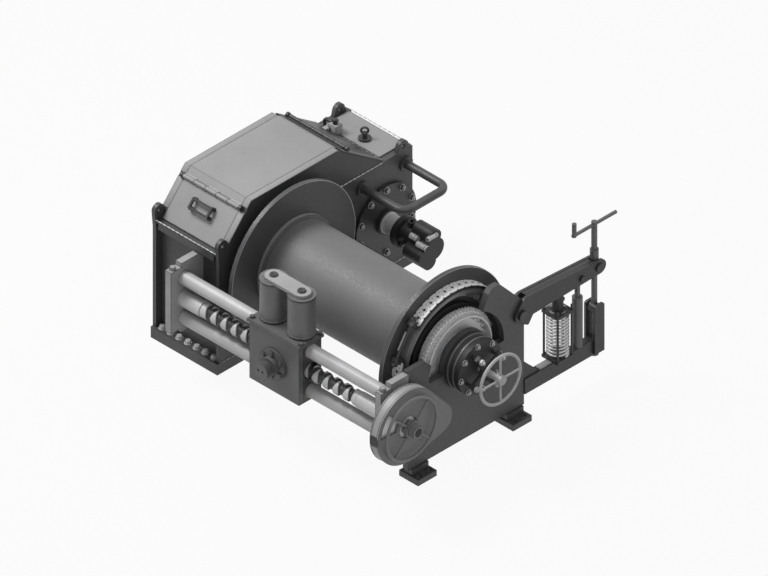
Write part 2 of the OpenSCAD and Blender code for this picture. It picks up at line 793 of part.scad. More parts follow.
// Core between the collar and the body, with a threaded port above and one in front
module port_section(x) {
  mid = x + port_len / 2;
  rise = motor_core_r + 22;
  difference() {
    union() {
      bar_x(motor_core_r, x, x + port_len, motor_y, motor_h);
      translate([mid, motor_y, motor_h]) cylinder(r = 19, h = rise, $fn = 6);
      translate([mid, motor_y, motor_h]) rotate([90, 0, 0]) cylinder(r = 19, h = rise, $fn = 6);
    }
    bar_z(9, mid, motor_y, motor_h + 20, motor_h + rise + 1);
    bar_y(9, mid, motor_y - rise - 1, motor_y - 20, motor_h);
  }
}

// Drip shelf on the gear case, in front of the motor
module motor_shelf() {
  y0 = motor_y - motor_plate_r - 12;
  color([0.2, 0.2, 0.21]) placed() {
    translate([0, y0 - 40, motor_h - 6]) cube([motor_end, 40, 10]);
    translate([0, y0 - 40, motor_h - 90]) cube([12, 40, 84]);
    for (y = [y0 - 40, y0 - 12])
      plate_xz(y, 12) polygon([[12, motor_h - 90], [12, motor_h - 6], [motor_end - 40, motor_h - 6]]);
  }
}

// A plate whose outline is drawn in X and Z, standing across Y
module plate_xz(from, t) {
  translate([0, from + t, 0]) rotate([90, 0, 0]) linear_extrude(height = t) children();
}

module case_bolts() {
  color([0.45, 0.45, 0.46]) placed() {
    for (i = [0 : 6])
      translate([outer_x + plate_t + bolt_margin + i * bolt_pitch, -case_front + 12, base_h])
        head(26, 18);
  }
}

module drum_barrel() {
  color([0.42, 0.42, 0.43]) placed() difference() {
    union() {
      bar_x(barrel_r, drum_left, drum_right, 0, axis_h);
      bar_x(collar_r, drum_left, drum_left + collar_len, 0, axis_h);
    }
    bar_x(barrel_r - barrel_wall, drum_left - 1, drum_right + 1, 0, axis_h);
  }
}

module drum_flange(x) {
  difference() {
    bar_x(flange_r, x, x + flange_t, 0, axis_h);
    bar_x(shaft_r + bush_wall, x - 1, x + flange_t + 1, 0, axis_h);
  }
}

module left_flange() {
  color([0.2, 0.2, 0.21]) placed() {
    drum_flange(case_gap);
    bar_x(shaft_r + 50, case_gap - 30, case_gap, 0, axis_h, shaft_r + bush_wall);
  }
}

module right_flange() {
  color([0.2, 0.2, 0.21]) placed() drum_flange(drum_right);
}

module drum_bushes() {
  color([0.66, 0.5, 0.24]) placed() for (x = [case_gap - 30, drum_right - 30])
    bar_x(shaft_r + bush_wall, x, x + flange_t + 30, 0, axis_h, shaft_r + run_fit);
}

module brake_drum() {
  color([0.34, 0.34, 0.35]) placed() {
    bar_x(brake_r, flange_face, flange_face + brake_w, 0, axis_h, brake_r - brake_wall);
    bar_x(brake_r - brake_wall, flange_face, flange_face + 14, 0, axis_h, brake_r - brake_wall - 36);
    head_ring(flange_face + 14, brake_r - brake_wall - 18, 16, 0, axis_h, 0, 18, 10);
  }
}

// Stepped hub outside the right flange, with the ring gear bolted to it
module drum_hub() {
  x1 = ring_x - 17;
  color([0.3, 0.3, 0.31]) placed() difference() {
    union() {
      bar_x(hub_step_r, flange_face, flange_face + 26, 0, axis_h);
      bar_x(hub_r, flange_face, x1, 0, axis_h);
    }
    bar_x(shaft_r + 14, flange_face - 1, x1 + 1, 0, axis_h);
  }
}

module ring_gear() {
  x0 = ring_x - 17;
  tip = wind_m * ring_teeth / 2 + 0.8 * wind_m;
  color([0.75, 0.75, 0.76]) placed() {
    difference() {
      union() {
        bar_x(tip - 16, x0, ring_x, 0, axis_h);
        plate_x(ring_x, ring_w) translate([0, axis_h]) gear_outline(wind_m, ring_teeth);
      }
      bar_x(clutch_r + 6, ring_x, ring_x + ring_w + 1, 0, axis_h);
      bar_x(shaft_r + 14, x0 - 1, ring_x + 1, 0, axis_h);
    }
    // Inner teeth that the clutch sleeve enters
    plate_x(ring_x, clutch_w) translate([0, axis_h]) clutch_spaces();
  }
}

// Inner teeth of the ring, with a clear pocket for each clutch tooth
module clutch_spaces() {
  step = 360 / clutch_teeth;
  root = clutch_r - clutch_tooth_h;
  for (i = [0 : clutch_teeth - 1]) rotate((i + 0.5) * step)
    polygon([[root + 1.5, -root * sin(step * 0.18)], [clutch_r + 7, -root * sin(step * 0.2)],
      [clutch_r + 7, root * sin(step * 0.2)], [root + 1.5, root * sin(step * 0.18)]]);
}

module clutch_teeth_outline() {
  step = 360 / clutch_teeth;
  root = clutch_r - clutch_tooth_h;
  circle(r = root);
  for (i = [0 : clutch_teeth - 1]) rotate(i * step)
    polygon([[root - 3, -root * sin(step * 0.24)], [clutch_r, -root * sin(step * 0.2)],
      [clutch_r, root * sin(step * 0.2)], [root - 3, root * sin(step * 0.24)]]);
}

// Six splines that the clutch sleeve slides on
module spline_outline(grow = 0) {
  circle(r = shaft_r - 11 + grow);
  for (i = [0 : 5]) rotate(i * 60) translate([0, -9 - grow]) square([shaft_r - 2 + grow, 18 + 2 * grow]);
}

module drum_shaft() {
  x0 = outer_x - 26;
  spline_from = ring_x - 17;
  spline_to = stand_back - 4;
  color([0.6, 0.6, 0.61]) placed() {
    bar_x(shaft_r, x0 + 26, spline_from, 0, axis_h);
    plate_x(spline_from, spline_to - spline_from) translate([0, axis_h]) spline_outline();
    bar_x(journal_r, spline_to, stand_face + housing_len - 14, 0, axis_h);
  }
}

module drum_gear() {
  color([0.4, 0.4, 0.41]) placed() difference() {
    union() {
      gear(bull_m, bull_teeth, bull_w, shaft_r, bull_x, 0, axis_h);
      bar_x(shaft_r + 40, bull_x - 14, bull_x + bull_w + 14, 0, axis_h, shaft_r);
    }
    web_cut(bull_x, bull_w, 0, axis_h, shaft_r + 40, bull_pitch_r - 34, 22);
  }
}

module shaft_bearings() {
  color([0.32, 0.32, 0.33]) placed() {
    // Drum shaft in both side plates
    for (x = [outer_x, -rim_w]) bar_x(shaft_r + 30, x, x + rim_w, 0, axis_h, shaft_r + run_fit);
    bar_x(128, 0, 14, 0, axis_h, shaft_r + run_fit);
    head_ring(14, 112, 8, 0, axis_h, 22.5, 20, 10);
    // Countershaft in both side plates
    for (x = [outer_x, -plate_t])
      bar_x(counter_r + 24, x, x + plate_t, counter_y, counter_h, counter_r + run_fit);
  }
}

// The countershaft and the pinion cut on it
module countershaft() {
  color([0.6, 0.6, 0.61]) placed() {
    bar_x(counter_r, outer_x + 1, -1, counter_y, counter_h);
    plate_x(bull_x, bull_w) translate([counter_y, counter_h]) gear_outline(bull_m, counter_pinion_teeth,
        mesh_turn(180 - counter_fall, bull_teeth, counter_pinion_teeth));
  }
}

// Turn of a gear that puts a gap opposite the tooth or gap of its mate; to_mate is the direction,
// seen from this gear, of the mate, whose own first tooth is at turn mate_turn
function mesh_turn(to_mate, mate_n, n, mate_turn = 0) = let (
    away = to_mate + 180,
    phase = (away - mate_turn) * mate_n / 360,
    into = phase - floor(phase))
  to_mate + 180 / n + into * 360 / n;

module countershaft_gear() {
  color([0.4, 0.4, 0.41]) placed() difference() {
    union() {
      gear(counter_m, counter_teeth, counter_w, counter_r, counter_x, counter_y, counter_h, -motor_fall);
      bar_x(boss_r, counter_x - 10, counter_x + counter_w + 10, counter_y, counter_h, counter_r);
    }
    web_cut(counter_x, counter_w, counter_y, counter_h, boss_r, counter_m * counter_teeth / 2 - 28, 18);
  }
}

module motor_pinion() {
  color([0.55, 0.55, 0.56]) placed() {
    plate_x(counter_x, counter_w) translate([motor_y, motor_h]) gear_outline(counter_m, motor_pinion_teeth,
        mesh_turn(180 - motor_fall, counter_teeth, motor_pinion_teeth, -motor_fall));
    bar_x(motor_shaft_r, counter_x - 10, motor_plate_t + motor_neck_len - 4, motor_y, motor_h);
  }
}

module guide_rods() {
  color([0.7, 0.7, 0.71]) placed() for (z = [rod_top_h, rod_low_h])
    bar_x(rod_r, bracket_left - bracket_t, bracket_right + bracket_t, -wind_y, z);
}

// End bracket of the rods: tall rear part and lower front cap
module end_bracket(x, rear_y) {
  mid = (rod_top_h + rod_low_h) / 2;
  cap_y = -bracket_front + bracket_cap_d;
  difference() {
    union() {
      translate([x, cap_y, mid - bracket_tall / 2]) cube([bracket_t, -rear_y - cap_y, bracket_tall]);
      translate([x, -bracket_front, mid - bracket_low / 2]) cube([bracket_t, bracket_cap_d, bracket_low]);
      translate([x + bracket_t / 2, -bracket_front + 26, mid + bracket_low / 2]) head(24, 14);
    }
    for (z = [rod_top_h, rod_low_h]) bar_x(rod_r, x - 1, x + bracket_t + 1, -wind_y, z);
    bar_x(screw_end_r - 6 + run_fit, x - 1, x + bracket_t + 1, -wind_y, screw_h);
  }
}

module left_bracket() {
  color([0.66, 0.66, 0.67]) placed()
    end_bracket(bracket_left - bracket_t, case_front - wall_setback);
}

module right_bracket() {
  color([0.66, 0.66, 0.67]) placed() end_bracket(bracket_right, stand_front);
}

module carriage_box() {
  x0 = carriage_x - carriage_len / 2;
  depth = carriage_front - carriage_rear - front_plate_t;
  color([0.26, 0.26, 0.27]) placed() difference() {
    translate([x0, -carriage_front + front_plate_t, carriage_low])
      cube([carriage_len, depth, carriage_top - carriage_low]);
    for (z = [rod_top_h, rod_low_h])
      bar_x(rod_r + rod_bush_wall, x0 - 1, x0 + carriage_len + 1, -wind_y, z);
    bar_x(screw_end_r + 3, x0 - 1, x0 + carriage_len + 1, -wind_y, screw_h);
    bar_y(follower_neck_r - 6 + run_fit, carriage_x, -carriage_front, -wind_y, screw_h);
  }
}

module carriage_front_plate() {
  x0 = carriage_x - carriage_len / 2;
  color([0.24, 0.24, 0.25]) placed() {
    difference() {
      translate([x0, -carriage_front, carriage_low])
        cube([carriage_len, front_plate_t, carriage_top - carriage_low]);
      bar_y(follower_neck_r - 6 + run_fit, carriage_x, -carriage_front - 1,
        -carriage_front + front_plate_t + 1, screw_h);
    }
    difference() {
      union() {
        bar_y(follower_flange_r, carriage_x, -carriage_front - 14, -carriage_front, screw_h);
        bar_y(follower_neck_r + 12, carriage_x, -carriage_front - 40, -carriage_front, screw_h);
        for (i = [0 : 5]) translate([carriage_x + 57 * cos(i * 60 + 30), -carriage_front - 14,
            screw_h + 57 * sin(i * 60 + 30)]) rotate([90, 0, 0]) head(20, 9);
      }
      bar_y(follower_neck_r - 6 + run_fit, carriage_x, -carriage_front - 41, -carriage_front + 1, screw_h);
    }
  }
}

module carriage_top_plate() {
  x0 = carriage_x - carriage_len / 2;
  color([0.24, 0.24, 0.25]) placed() {
    difference() {
      translate([x0 - top_overhang, -carriage_front - top_overhang, carriage_top])
        cube([carriage_len + 2 * top_overhang, carriage_front - carriage_rear + 2 * top_overhang,
          top_plate_t]);
      for (k = [-1, 1]) bar_z(roller_pin_r, carriage_x + k * roller_pitch / 2, -roller_y,
        carriage_top - 1, carriage_top + top_plate_t + 1);
    }
    for (x = [x0 + 4, x0 + carriage_len - 4], y = [-carriage_front + 14, -carriage_rear - 4])
      translate([x, y, carriage_top + top_plate_t]) head(20, 10);
  }
}

module rod_bushes() {
  x0 = carriage_x - carriage_len / 2;
  color([0.66, 0.5, 0.24]) placed() for (x = [x0, x0 + carriage_len - 70], z = [rod_top_h, rod_low_h])
    bar_x(rod_r + rod_bush_wall, x, x + 70, -wind_y, z, rod_r + run_fit);
}

roller_foot = carriage_top + top_plate_t + seat_gap;
roller_head = roller_foot + roller_len + seat_gap;

// The fixed pins of the rollers and the link plate that ties their upper ends
module roller_pins() {
  color([0.7, 0.7, 0.71]) placed() {
    for (k = [-1, 1])
      bar_z(roller_pin_r, carriage_x + k * roller_pitch / 2, -roller_y, carriage_top,
        roller_head + link_t + 4);
    translate([carriage_x, -roller_y, roller_head]) linear_extrude(height = link_t) hull() {
      for (k = [-1, 1]) translate([k * roller_pitch / 2, 0]) circle(r = link_w / 2);
    }
  }
}

module roller(k) {
  translate([carriage_x + k * roller_pitch / 2, -roller_y, roller_foot]) rotate_extrude() polygon([
    [roller_pin_r + run_fit, 0], [roller_r + 2, 0], [roller_r + 2, 9], [roller_r, 12],
    [roller_r, roller_len - 12], [roller_r + 2, roller_len - 9], [roller_r + 2, roller_len],
    [roller_pin_r + run_fit, roller_len]]);
}

module left_roller() {
  color([0.38, 0.38, 0.39]) placed() roller(-1);
}

module right_roller() {
  color([0.38, 0.38, 0.39]) placed() roller(1);
}

// Turning disc, neck and the blade that the groove guides
module follower() {
  out = -carriage_front - follower_out;
  tip = -wind_y - screw_r - 0.8;
  color([0.62, 0.62, 0.63]) placed() {
    difference() {
      bar_y(follower_disc_r, carriage_x, out, out + 20, screw_h);
      for (k = [-1, 1]) bar_y(5, carriage_x + k * 13, out - 1, out + 9, screw_h);
    }
    bar_y(follower_neck_r, carriage_x, out + 20, -carriage_front - 40 - seat_gap, screw_h);
    bar_y(follower_neck_r - 6, carriage_x, -carriage_front - 40 - seat_gap, tip, screw_h);
  }
}

// Screw with two crossing grooves of opposite hand, as one closed surface. The radius at an angle and
// a place along the screw is the bottom of whichever groove is nearer.
screw_sides = 24;
screw_step = 6;
function groove_dip(x, a, hand) = let (
    p = (x - hand * a / 360 * screw_lead) / screw_lead,
    d = abs(p - round(p)) * screw_lead)
  d < groove_w / 2 ? 1 : d < groove_w / 2 + 5 ? (groove_w / 2 + 5 - d) / 5 : 0;
function screw_radius(x, a) = let (edge = min(1, min(x, screw_len - x) / 20))
  screw_r - (screw_r - groove_r) * edge * max(groove_dip(x, a, 1), groove_dip(x, a, -1));

module grooved_bar(y, z) {
  rings = round(screw_len / screw_step);
  dx = screw_len / rings;
  n = screw_sides;
  points = concat([for (i = [0 : rings], k = [0 : n - 1]) let (a = k * 360 / n, r = screw_radius(i * dx, a))
    [screw_start + i * dx, y + r * cos(a), z + r * sin(a)]],
    [[screw_start, y, z], [screw_start + screw_len, y, z]]);
  last = (rings + 1) * n;
  faces = concat(
    [for (i = [0 : rings - 1], k = [0 : n - 1]) [i * n + k, (i + 1) * n + k, i * n + (k + 1) % n]],
    [for (i = [0 : rings - 1], k = [0 : n - 1])
      [(i + 1) * n + k, (i + 1) * n + (k + 1) % n, i * n + (k + 1) % n]],
    [for (k = [0 : n - 1]) [last, k, (k + 1) % n]],
    [for (k = [0 : n - 1]) [last + 1, rings * n + (k + 1) % n, rings * n + k]]);
  polyhedron(points, faces);
}

module traverse_screw() {
  to = screw_start + screw_len;
  color([0.72, 0.72, 0.73]) placed() {
    grooved_bar(-wind_y, screw_h);
    for (e = [[bracket_left + seat_gap, screw_start], [to, bracket_right - seat_gap]])
      bar_x(screw_end_r, e[0], e[1], -wind_y, screw_h);
    bar_x(screw_end_r - 6, bracket_left - bracket_t, bracket_left + seat_gap, -wind_y, screw_h);
    bar_x(screw_end_r - 6, bracket_right - seat_gap, casing_face - 4, -wind_y, screw_h);
    bar_x(20, casing_face - 4, wind_wheel_x + 10, -wind_y, screw_h);
  }
}

module screw_gear() {
  color([0.5, 0.5, 0.51]) placed() gear(wind_m, screw_teeth, casing_gear_w, screw_end_r - 6,
    casing_back + (casing_d - casing_gear_w) / 2, -wind_y, screw_h, screw_gear_turn());
}

function idler_turn() = mesh_turn(180 + atan2(idler_h - axis_h, idler_y), ring_teeth, idler_teeth);
function small_turn() = idler_turn();
function screw_gear_turn() = mesh_turn(atan2(idler_h - screw_h, idler_y + wind_y), small_teeth, screw_teeth,
  small_turn());

module idler_shaft() {
  gear_x = casing_back + (casing_d - casing_gear_w) / 2;
  color([0.5, 0.5, 0.51]) placed() {
    plate_x(ring_x + 8, ring_w - 10) translate([idler_y, idler_h])
      gear_outline(wind_m, idler_teeth, idler_turn());
    plate_x(gear_x, casing_gear_w) translate([idler_y, idler_h])
      gear_outline(wind_m, small_teeth, small_turn());
    bar_x(idler_r, ring_x + 8, gear_x + casing_gear_w + 4, idler_y, idler_h);
  }
}

module casing_outline(grow = 0) {
  hull() {
    translate([-wind_y, screw_h]) circle(r = casing_r + grow);
    translate([idler_y, idler_h]) circle(r = casing_small_r + grow);
  }
}

module gear_casing() {
  wall = 6;
  color([0.45, 0.45, 0.46]) placed() difference() {
    union() {
      plate_x(casing_back, casing_d - wall) casing_outline();
      bar_x(60, bracket_right + bracket_t + seat_gap, casing_back, -wind_y, screw_h);
      bar_x(36, stand_face, casing_back, idler_y, idler_h);
    }
    plate_x(casing_back + wall, casing_d) casing_outline(-wall);
    bar_x(screw_end_r - 6 + run_fit, stand_back, casing_face, -wind_y, screw_h);
    bar_x(idler_r + run_fit, stand_back, casing_face, idler_y, idler_h);
  }
}

// Front of the casing, with a window over the gears at the upper left
module casing_cover() {
  color([0.5, 0.5, 0.51]) placed() difference() {
    plate_x(casing_face - 6, 6) casing_outline();
    bar_x(screw_end_r + 14, casing_face - 7, casing_face + 1, -wind_y, screw_h);
    translate([0, -wind_y, screw_h]) rotate([155, 0, 0]) plate_x(casing_face - 7, 8) intersection() {
      difference() {
        circle(r = casing_r - 18);
        circle(r = screw_end_r + 34);
      }
      polygon(2 * casing_r * [[0, 0], [1, tan(window_half)], [1, -tan(window_half)]]);
    }
  }
}

// Rim bar, four spokes and hub of a handwheel in the plane across X
module handwheel(x, y, z, r, hub_from, hub_to, hub_r, bore, turn) {
  translate([x, y, z]) rotate([0, 90, 0]) rotate_extrude() translate([r - wheel_bar_r, 0])
    circle(r = wheel_bar_r, $fn = 24);
  for (i = [0 : 3]) translate([x, y, z]) rotate([turn + i * 90, 0, 0]) translate([0, 0, hub_r - 3])
    cylinder(r = 5, h = r - 2 * wheel_bar_r - hub_r + 8, $fn = 24);
  bar_x(hub_r, hub_from, hub_to, y, z, bore);
}

module level_wind_handwheel() {
  color([0.28, 0.28, 0.29]) placed() {
    handwheel(wind_wheel_x, -wind_y, screw_h, wind_wheel_r, casing_face + 3, wind_hub_x, 30, 20, 47);
    bar_x(42, wind_wheel_x - 8, wind_wheel_x + 8, -wind_y, screw_h, 28);
  }
}

// Outline of the stand: front shoulder, fall to the bearing, rear horn
module stand_outline() {
  fall = stand_shoulder - axis_h;
  polygon([[-stand_front, foot_h], [-stand_front, stand_shoulder], [-stand_front + 106, stand_shoulder],
    [-stand_front + 106 + fall, axis_h], [0, axis_h], [130, horn_h - 20], [150, horn_h], [197, horn_h],
    [stand_rear - 47, horn_h - 104], [stand_rear, horn_h - 150], [stand_rear, foot_h]]);
}

// The stand with its round throat open above the bearing boss
module stand_plate() {
  color([0.2, 0.2, 0.21]) placed() difference() {
    union() {
      difference() {
        plate_x(stand_back, stand_t) stand_outline();
        intersection() {
          bar_x(throat_r, stand_back - 1, stand_face + 1, 0, axis_h);
          translate([stand_back - 2, -throat_r, axis_h - 12])
            cube([stand_t + 4, 2 * throat_r, 2 * throat_r]);
        }
      }
      bar_x(housing_r + 8, stand_back, stand_face, 0, axis_h);
    }
    bar_x(bearing_r, stand_back - 1, stand_face + 1, 0, axis_h);
    bar_x(idler_r + run_fit, stand_back - 1, stand_face + 1, idler_y, idler_h);
    pull_rod_holes(stand_back - 1, stand_face + 1);
    bar_x(pivot_r, stand_back - 1, stand_face + 1, pivot_y, pivot_h);
  }
}

module pull_rod_holes(from, to) {
  for (i = [0 : 3]) bar_x(pull_rod_r + run_fit, from, to, pull_circle_r * cos(30 + i * 90),
    axis_h + pull_circle_r * sin(30 + i * 90));
}

module stand_feet() {
  x0 = stand_face + 50 - foot_len;
  color([0.24, 0.24, 0.25]) placed() for (s = [-1, 1]) difference() {
    union() {
      translate([x0, s * foot_y - foot_w / 2, 0]) cube([foot_len, foot_w, foot_h / 2]);
      translate([stand_back - 8, s * foot_y - foot_w / 2 + 6, foot_h / 2])
        cube([stand_t + 16, foot_w - 12, foot_h / 2]);
    }
    for (k = [-1, 1]) bar_z(deck_bolt_r, x0 + foot_len - 24, s * foot_y + k * 30, -1, foot_h);
  }
}

// Housing in front of the stand, its ball bearing and its cover
module outboard_bearing() {
  color([0.22, 0.22, 0.23]) placed() {
    difference() {
      bar_x(housing_r, stand_face, housing_face, 0, axis_h);
      bar_x(bearing_r, stand_face - 1, housing_face - 12, 0, axis_h);
      bar_x(15 + run_fit, housing_face - 13, housing_face + 1, 0, axis_h);
      pull_rod_holes(stand_face - 1, housing_face + 1);
    }
    bar_x(bearing_r, stand_back, housing_face - 12, 0, axis_h, journal_r + run_fit);
    head_ring(housing_face, housing_r - 14, 8, 0, axis_h, 7.5, 18, 9);
  }
}

// Toothed clutch sleeve on the splines of the drum shaft
module clutch_sleeve() {
  x0 = ring_x + 0.4;
  color([0.68, 0.68, 0.69]) placed() difference() {
    union() {
      plate_x(x0, clutch_w - 0.8) translate([0, axis_h]) clutch_teeth_outline();
      bar_x(pull_circle_r + 14, x0, x0 + clutch_w + 6, 0, axis_h);
    }
    plate_x(x0 - 1, clutch_w + 9) translate([0, axis_h]) spline_outline(run_fit);
  }
}

// Pull rods and the cross that the spindle draws out
module clutch_yoke() {
  rod_from = ring_x + clutch_w + 6.4 + seat_gap;
  yoke_x = clutch_wheel_x - wheel_hub_half - 26 - clutch_stroke - yoke_clear;
  color([0.78, 0.78, 0.79]) placed() difference() {
    union() {
      for (i = [0 : 3]) {
        y = pull_circle_r * cos(30 + i * 90);
        z = axis_h + pull_circle_r * sin(30 + i * 90);
        bar_x(pull_rod_r, rod_from, yoke_x + 26, y, z);
        bar_x(pull_rod_r + 5, yoke_x + 16, yoke_x + 24, y, z);
      }
      plate_x(yoke_x, 16) translate([0, axis_h]) union() {
        circle(r = 30);
        for (a = [30, 120]) rotate(a) square([2 * pull_circle_r + 26, 26], center = true);
      }
    }
    bar_x(15 + run_fit, yoke_x - 1, yoke_x + 27, 0, axis_h);
  }
}

module clutch_handwheel() {
  color([0.16, 0.16, 0.17]) placed() {
    handwheel(clutch_wheel_x, 0, axis_h, clutch_wheel_r, clutch_wheel_x - wheel_hub_half,
      clutch_wheel_x + wheel_hub_half, 22, 0, 0);
    bar_x(15, housing_face - 12, clutch_wheel_x, 0, axis_h);
  }
}

lever_mid_x = stand_back + stand_t / 2; // middle of the stand plate, where the lever train lies

// Steel band in two lengths, its lining blocks and rivets, the lugs at the ends of each length and
// the adjusting rod that draws the two together
module brake_band() {
  r0 = brake_r + seat_gap;
  r1 = r0 + lining_t;
  x0 = flange_face + (brake_w - band_w) / 2;
  mid = x0 + band_w / 2;
  pitch = band_wrap / lining_count;
  band_stop = band_start + band_wrap;
  rod_end = r1 + lug_rise;
  color([0.78, 0.76, 0.72]) placed() translate([0, 0, axis_h]) {
    for (span = [[band_start, gap_from], [gap_to, band_stop]])
      translate([x0, 0, 0]) rotate([90, 0, 90]) rotate(span[0]) rotate_extrude(angle = span[1] - span[0])
        translate([r1, 0]) square([band_t, band_w]);
    for (i = [0 : lining_count - 1]) {
      a = band_start + i * pitch;
      if (a + pitch < gap_from || a > gap_to) {
        translate([x0 + 2, 0, 0]) rotate([90, 0, 90]) rotate(a + 0.06 * pitch)
          rotate_extrude(angle = pitch * 0.88) translate([r0, 0]) square([lining_t + 0.5, band_w - 4]);
        rotate([a + 0.5 * pitch, 0, 0]) translate([mid, r1 + band_t - 1, 0]) rotate([-90, 0, 0])
          cylinder(r = 6, h = 5, $fn = 24);
      }
    }
    for (lug = [[band_start, 1], [band_stop, -1]]) band_lug(lug[0], lug[1], r1, band_w - 12, mid);
    for (lug = [[gap_from, -1], [gap_to, 1]]) band_lug(lug[0], lug[1], r1, band_w - 12, mid);
    // The rod runs straight from one lug to the other, with a nut outside each
    from = rod_end * [cos(gap_from), sin(gap_from)];
    span = rod_end * [cos(gap_to), sin(gap_to)] - from;
    translate([mid, from[0], from[1]]) rotate([atan2(span[1], span[0]), 0, 0]) {
      bar_y(band_rod_r, 0, -lug_d - 16, norm(span) + lug_d + 16, 0);
      for (y = [-lug_d - 12, norm(span) + lug_d]) bar_y(band_rod_r + 6, 0, y, y + 12, 0);
    }
  }
  color([0.62, 0.62, 0.63]) placed() brake_anchor();
}

// Lug that stands out from an end of the band; side 1 reaches along the band, side -1 back from it
module band_lug(angle, side, from, w, mid) {
  rotate([angle, 0, 0]) translate([mid - w / 2, from, side > 0 ? 0 : -lug_d])
    cube([w, lug_rise + 12, lug_d]);
}

// Pin through the fixed end of the band, and the arm that holds it to the stand
module brake_anchor() {
  r1 = brake_r + seat_gap + lining_t;
  x0 = flange_face + (brake_w - band_w) / 2;
  y = (r1 + lug_rise) * cos(band_start) - lug_d / 2 * sin(band_start);
  z = axis_h + (r1 + lug_rise) * sin(band_start) + lug_d / 2 * cos(band_start);
  bar_x(7, x0, stand_back, y, z);
  plate_x(stand_back - 12, 12) hull() {
    translate([y, z]) circle(r = 16);
    translate([stand_rear - 30, z - 40]) circle(r = 16);
  }
}

module lever_cheek_outline() {
  hull() {
    translate([pivot_y + 36, pivot_h + 26]) circle(r = 52);
    translate([lever_end, lever_end_h]) circle(r = lever_end_r);
  }
  hull() {
    translate([pivot_y, pivot_h]) circle(r = 40);
    translate([pivot_y + 36, pivot_h + 26]) circle(r = 52);
    translate([pivot_y + 34, pivot_h - 56]) circle(r = 8);
  }
}

strut_pin_h = lever_end_h - 8;

module brake_lever() {
  gap = lever_slot / 2;
  color([0.2, 0.2, 0.21]) placed() {
    for (x = [lever_mid_x - gap - lever_t, lever_mid_x + gap]) difference() {
      plate_x(x, lever_t) lever_cheek_outline();
      bar_x(pivot_r + run_fit, x - 1, x + lever_t + 1, pivot_y, pivot_h);
    }
    // Cross pads over the spring and the strut, and the trunnion for the spindle
    translate([lever_mid_x - gap, spring_y - 34, lever_end_h - lever_end_r - 2])
      cube([2 * gap, 68, 22]);
    bar_x(9, lever_mid_x - gap, lever_mid_x + gap, strut_y, strut_pin_h);
    difference() {
      bar_x(trunnion_r, lever_mid_x - gap, lever_mid_x + gap, spindle_y, lever_end_h);
      bar_z(spindle_r + trunnion_r * tan(lever_swing) + 0.7, lever_mid_x, spindle_y, lever_end_h - 30,
        lever_end_h + 30);
    }
    for (x = [lever_mid_x - gap - lever_t - 8, lever_mid_x + gap + lever_t]) {
      bar_x(20, x, x + 8, spindle_y, lever_end_h);
      bar_x(15, x, x + 8, strut_y, strut_pin_h);
    }
  }
}

module pivot_pin() {
  gap = lever_slot / 2 + lever_t;
  color([0.6, 0.6, 0.61]) placed() {
    bar_x(pivot_r, lever_mid_x - gap - 1, lever_mid_x + gap + 1, pivot_y, pivot_h);
    for (x = [lever_mid_x - gap - 1 - 10, lever_mid_x + gap + 1])
      bar_x(pivot_r + 8, x, x + 10, pivot_y, pivot_h);
  }
}

// Four slim rods at the corners of the spring's plates
module spring_guides(r, from, to) {
  off = spring_plate / 2 - 7;
  for (i = [-1, 1], j = [-1, 1]) bar_z(r, lever_mid_x + i * off, spring_y + j * off, from, to);
}

// Fixed arm under the spring, strut and spindle, with its two guide rods
module lever_bracket() {
  d = bracket_foot_d;
  top = bracket_foot_h + d;
  x0 = lever_mid_x - bracket_foot_t / 2;
  color([0.2, 0.2, 0.21]) placed() difference() {
    union() {
      translate([x0, stand_rear, bracket_foot_h]) cube([bracket_foot_t, lever_end - stand_rear - 20, d]);
      bar_x(d / 2, x0, x0 + bracket_foot_t, lever_end - 20, bracket_foot_h + d / 2);
      translate([lever_mid_x - stand_t / 2, stand_rear, top]) rotate([90, 0, 90])
        linear_extrude(height = stand_t) polygon([[0, 0], [90, 0], [0, 90]]);
      translate([lever_mid_x - spring_plate / 2, spring_y - spring_plate / 2, top])
        cube([spring_plate, spring_plate, 14]);
      spring_guides(5, top, spring_top + 40);
      // Fork round the spindle, with its nut between the cheeks
      for (x = [x0 - fork_t, x0 + bracket_foot_t]) plate_x(x, fork_t) hull() {
        translate([spindle_y - fork_w / 2, bracket_foot_h + 6]) square([fork_w, 10]);
        for (y = [-1, 1]) translate([spindle_y + y * (fork_w / 2 - 12), fork_top - 12]) circle(r = 12);
      }
      bar_x(fork_w / 2 - 4, x0, x0 + bracket_foot_t, spindle_y, fork_top - fork_w / 2);
    }
    bar_z(spindle_r + run_fit, lever_mid_x, spindle_y, bracket_foot_h - 1, fork_top + 1);
  }
}

// The coil spring, as one unbroken tube: 8 rings a curl, 6 sides
spring_rings = spring_turns * 8 + 1;
function spring_point(i) = let (
    t = i / (spring_rings - 1),
    r = spring_r - spring_wire_r,
    a = i * 45,
    end = spring_wire_r * sin(60) + seat_gap,
    rise = spring_len - 2 * end)
  [lever_mid_x + r * cos(a), spring_y + r * sin(a), spring_foot + end + rise * t];
module brake_spring() {
  pts = [for (i = [0 : spring_rings - 1]) spring_point(i)];
  n = 6;
  rings = [for (i = [0 : spring_rings - 1]) let (
      a = i * 45,
      u = [cos(a), sin(a), 0])
    [for (k = [0 : n - 1]) pts[i] + spring_wire_r * (cos(k * 60) * u + [0, 0, sin(k * 60)])]];
  faces = concat(
    [[for (k = [0 : n - 1]) n - 1 - k]],
    [for (i = [0 : spring_rings - 2], k = [0 : n - 1]) [i * n + k, i * n + (k + 1) % n, (i + 1) * n + k]],
    [for (i = [0 : spring_rings - 2], k = [0 : n - 1])
      [i * n + (k + 1) % n, (i + 1) * n + (k + 1) % n, (i + 1) * n + k]],
    [[for (k = [0 : n - 1]) (spring_rings - 1) * n + k]]);
  color([0.8, 0.8, 0.8]) placed() polyhedron([for (ring = rings) each ring], faces);
}
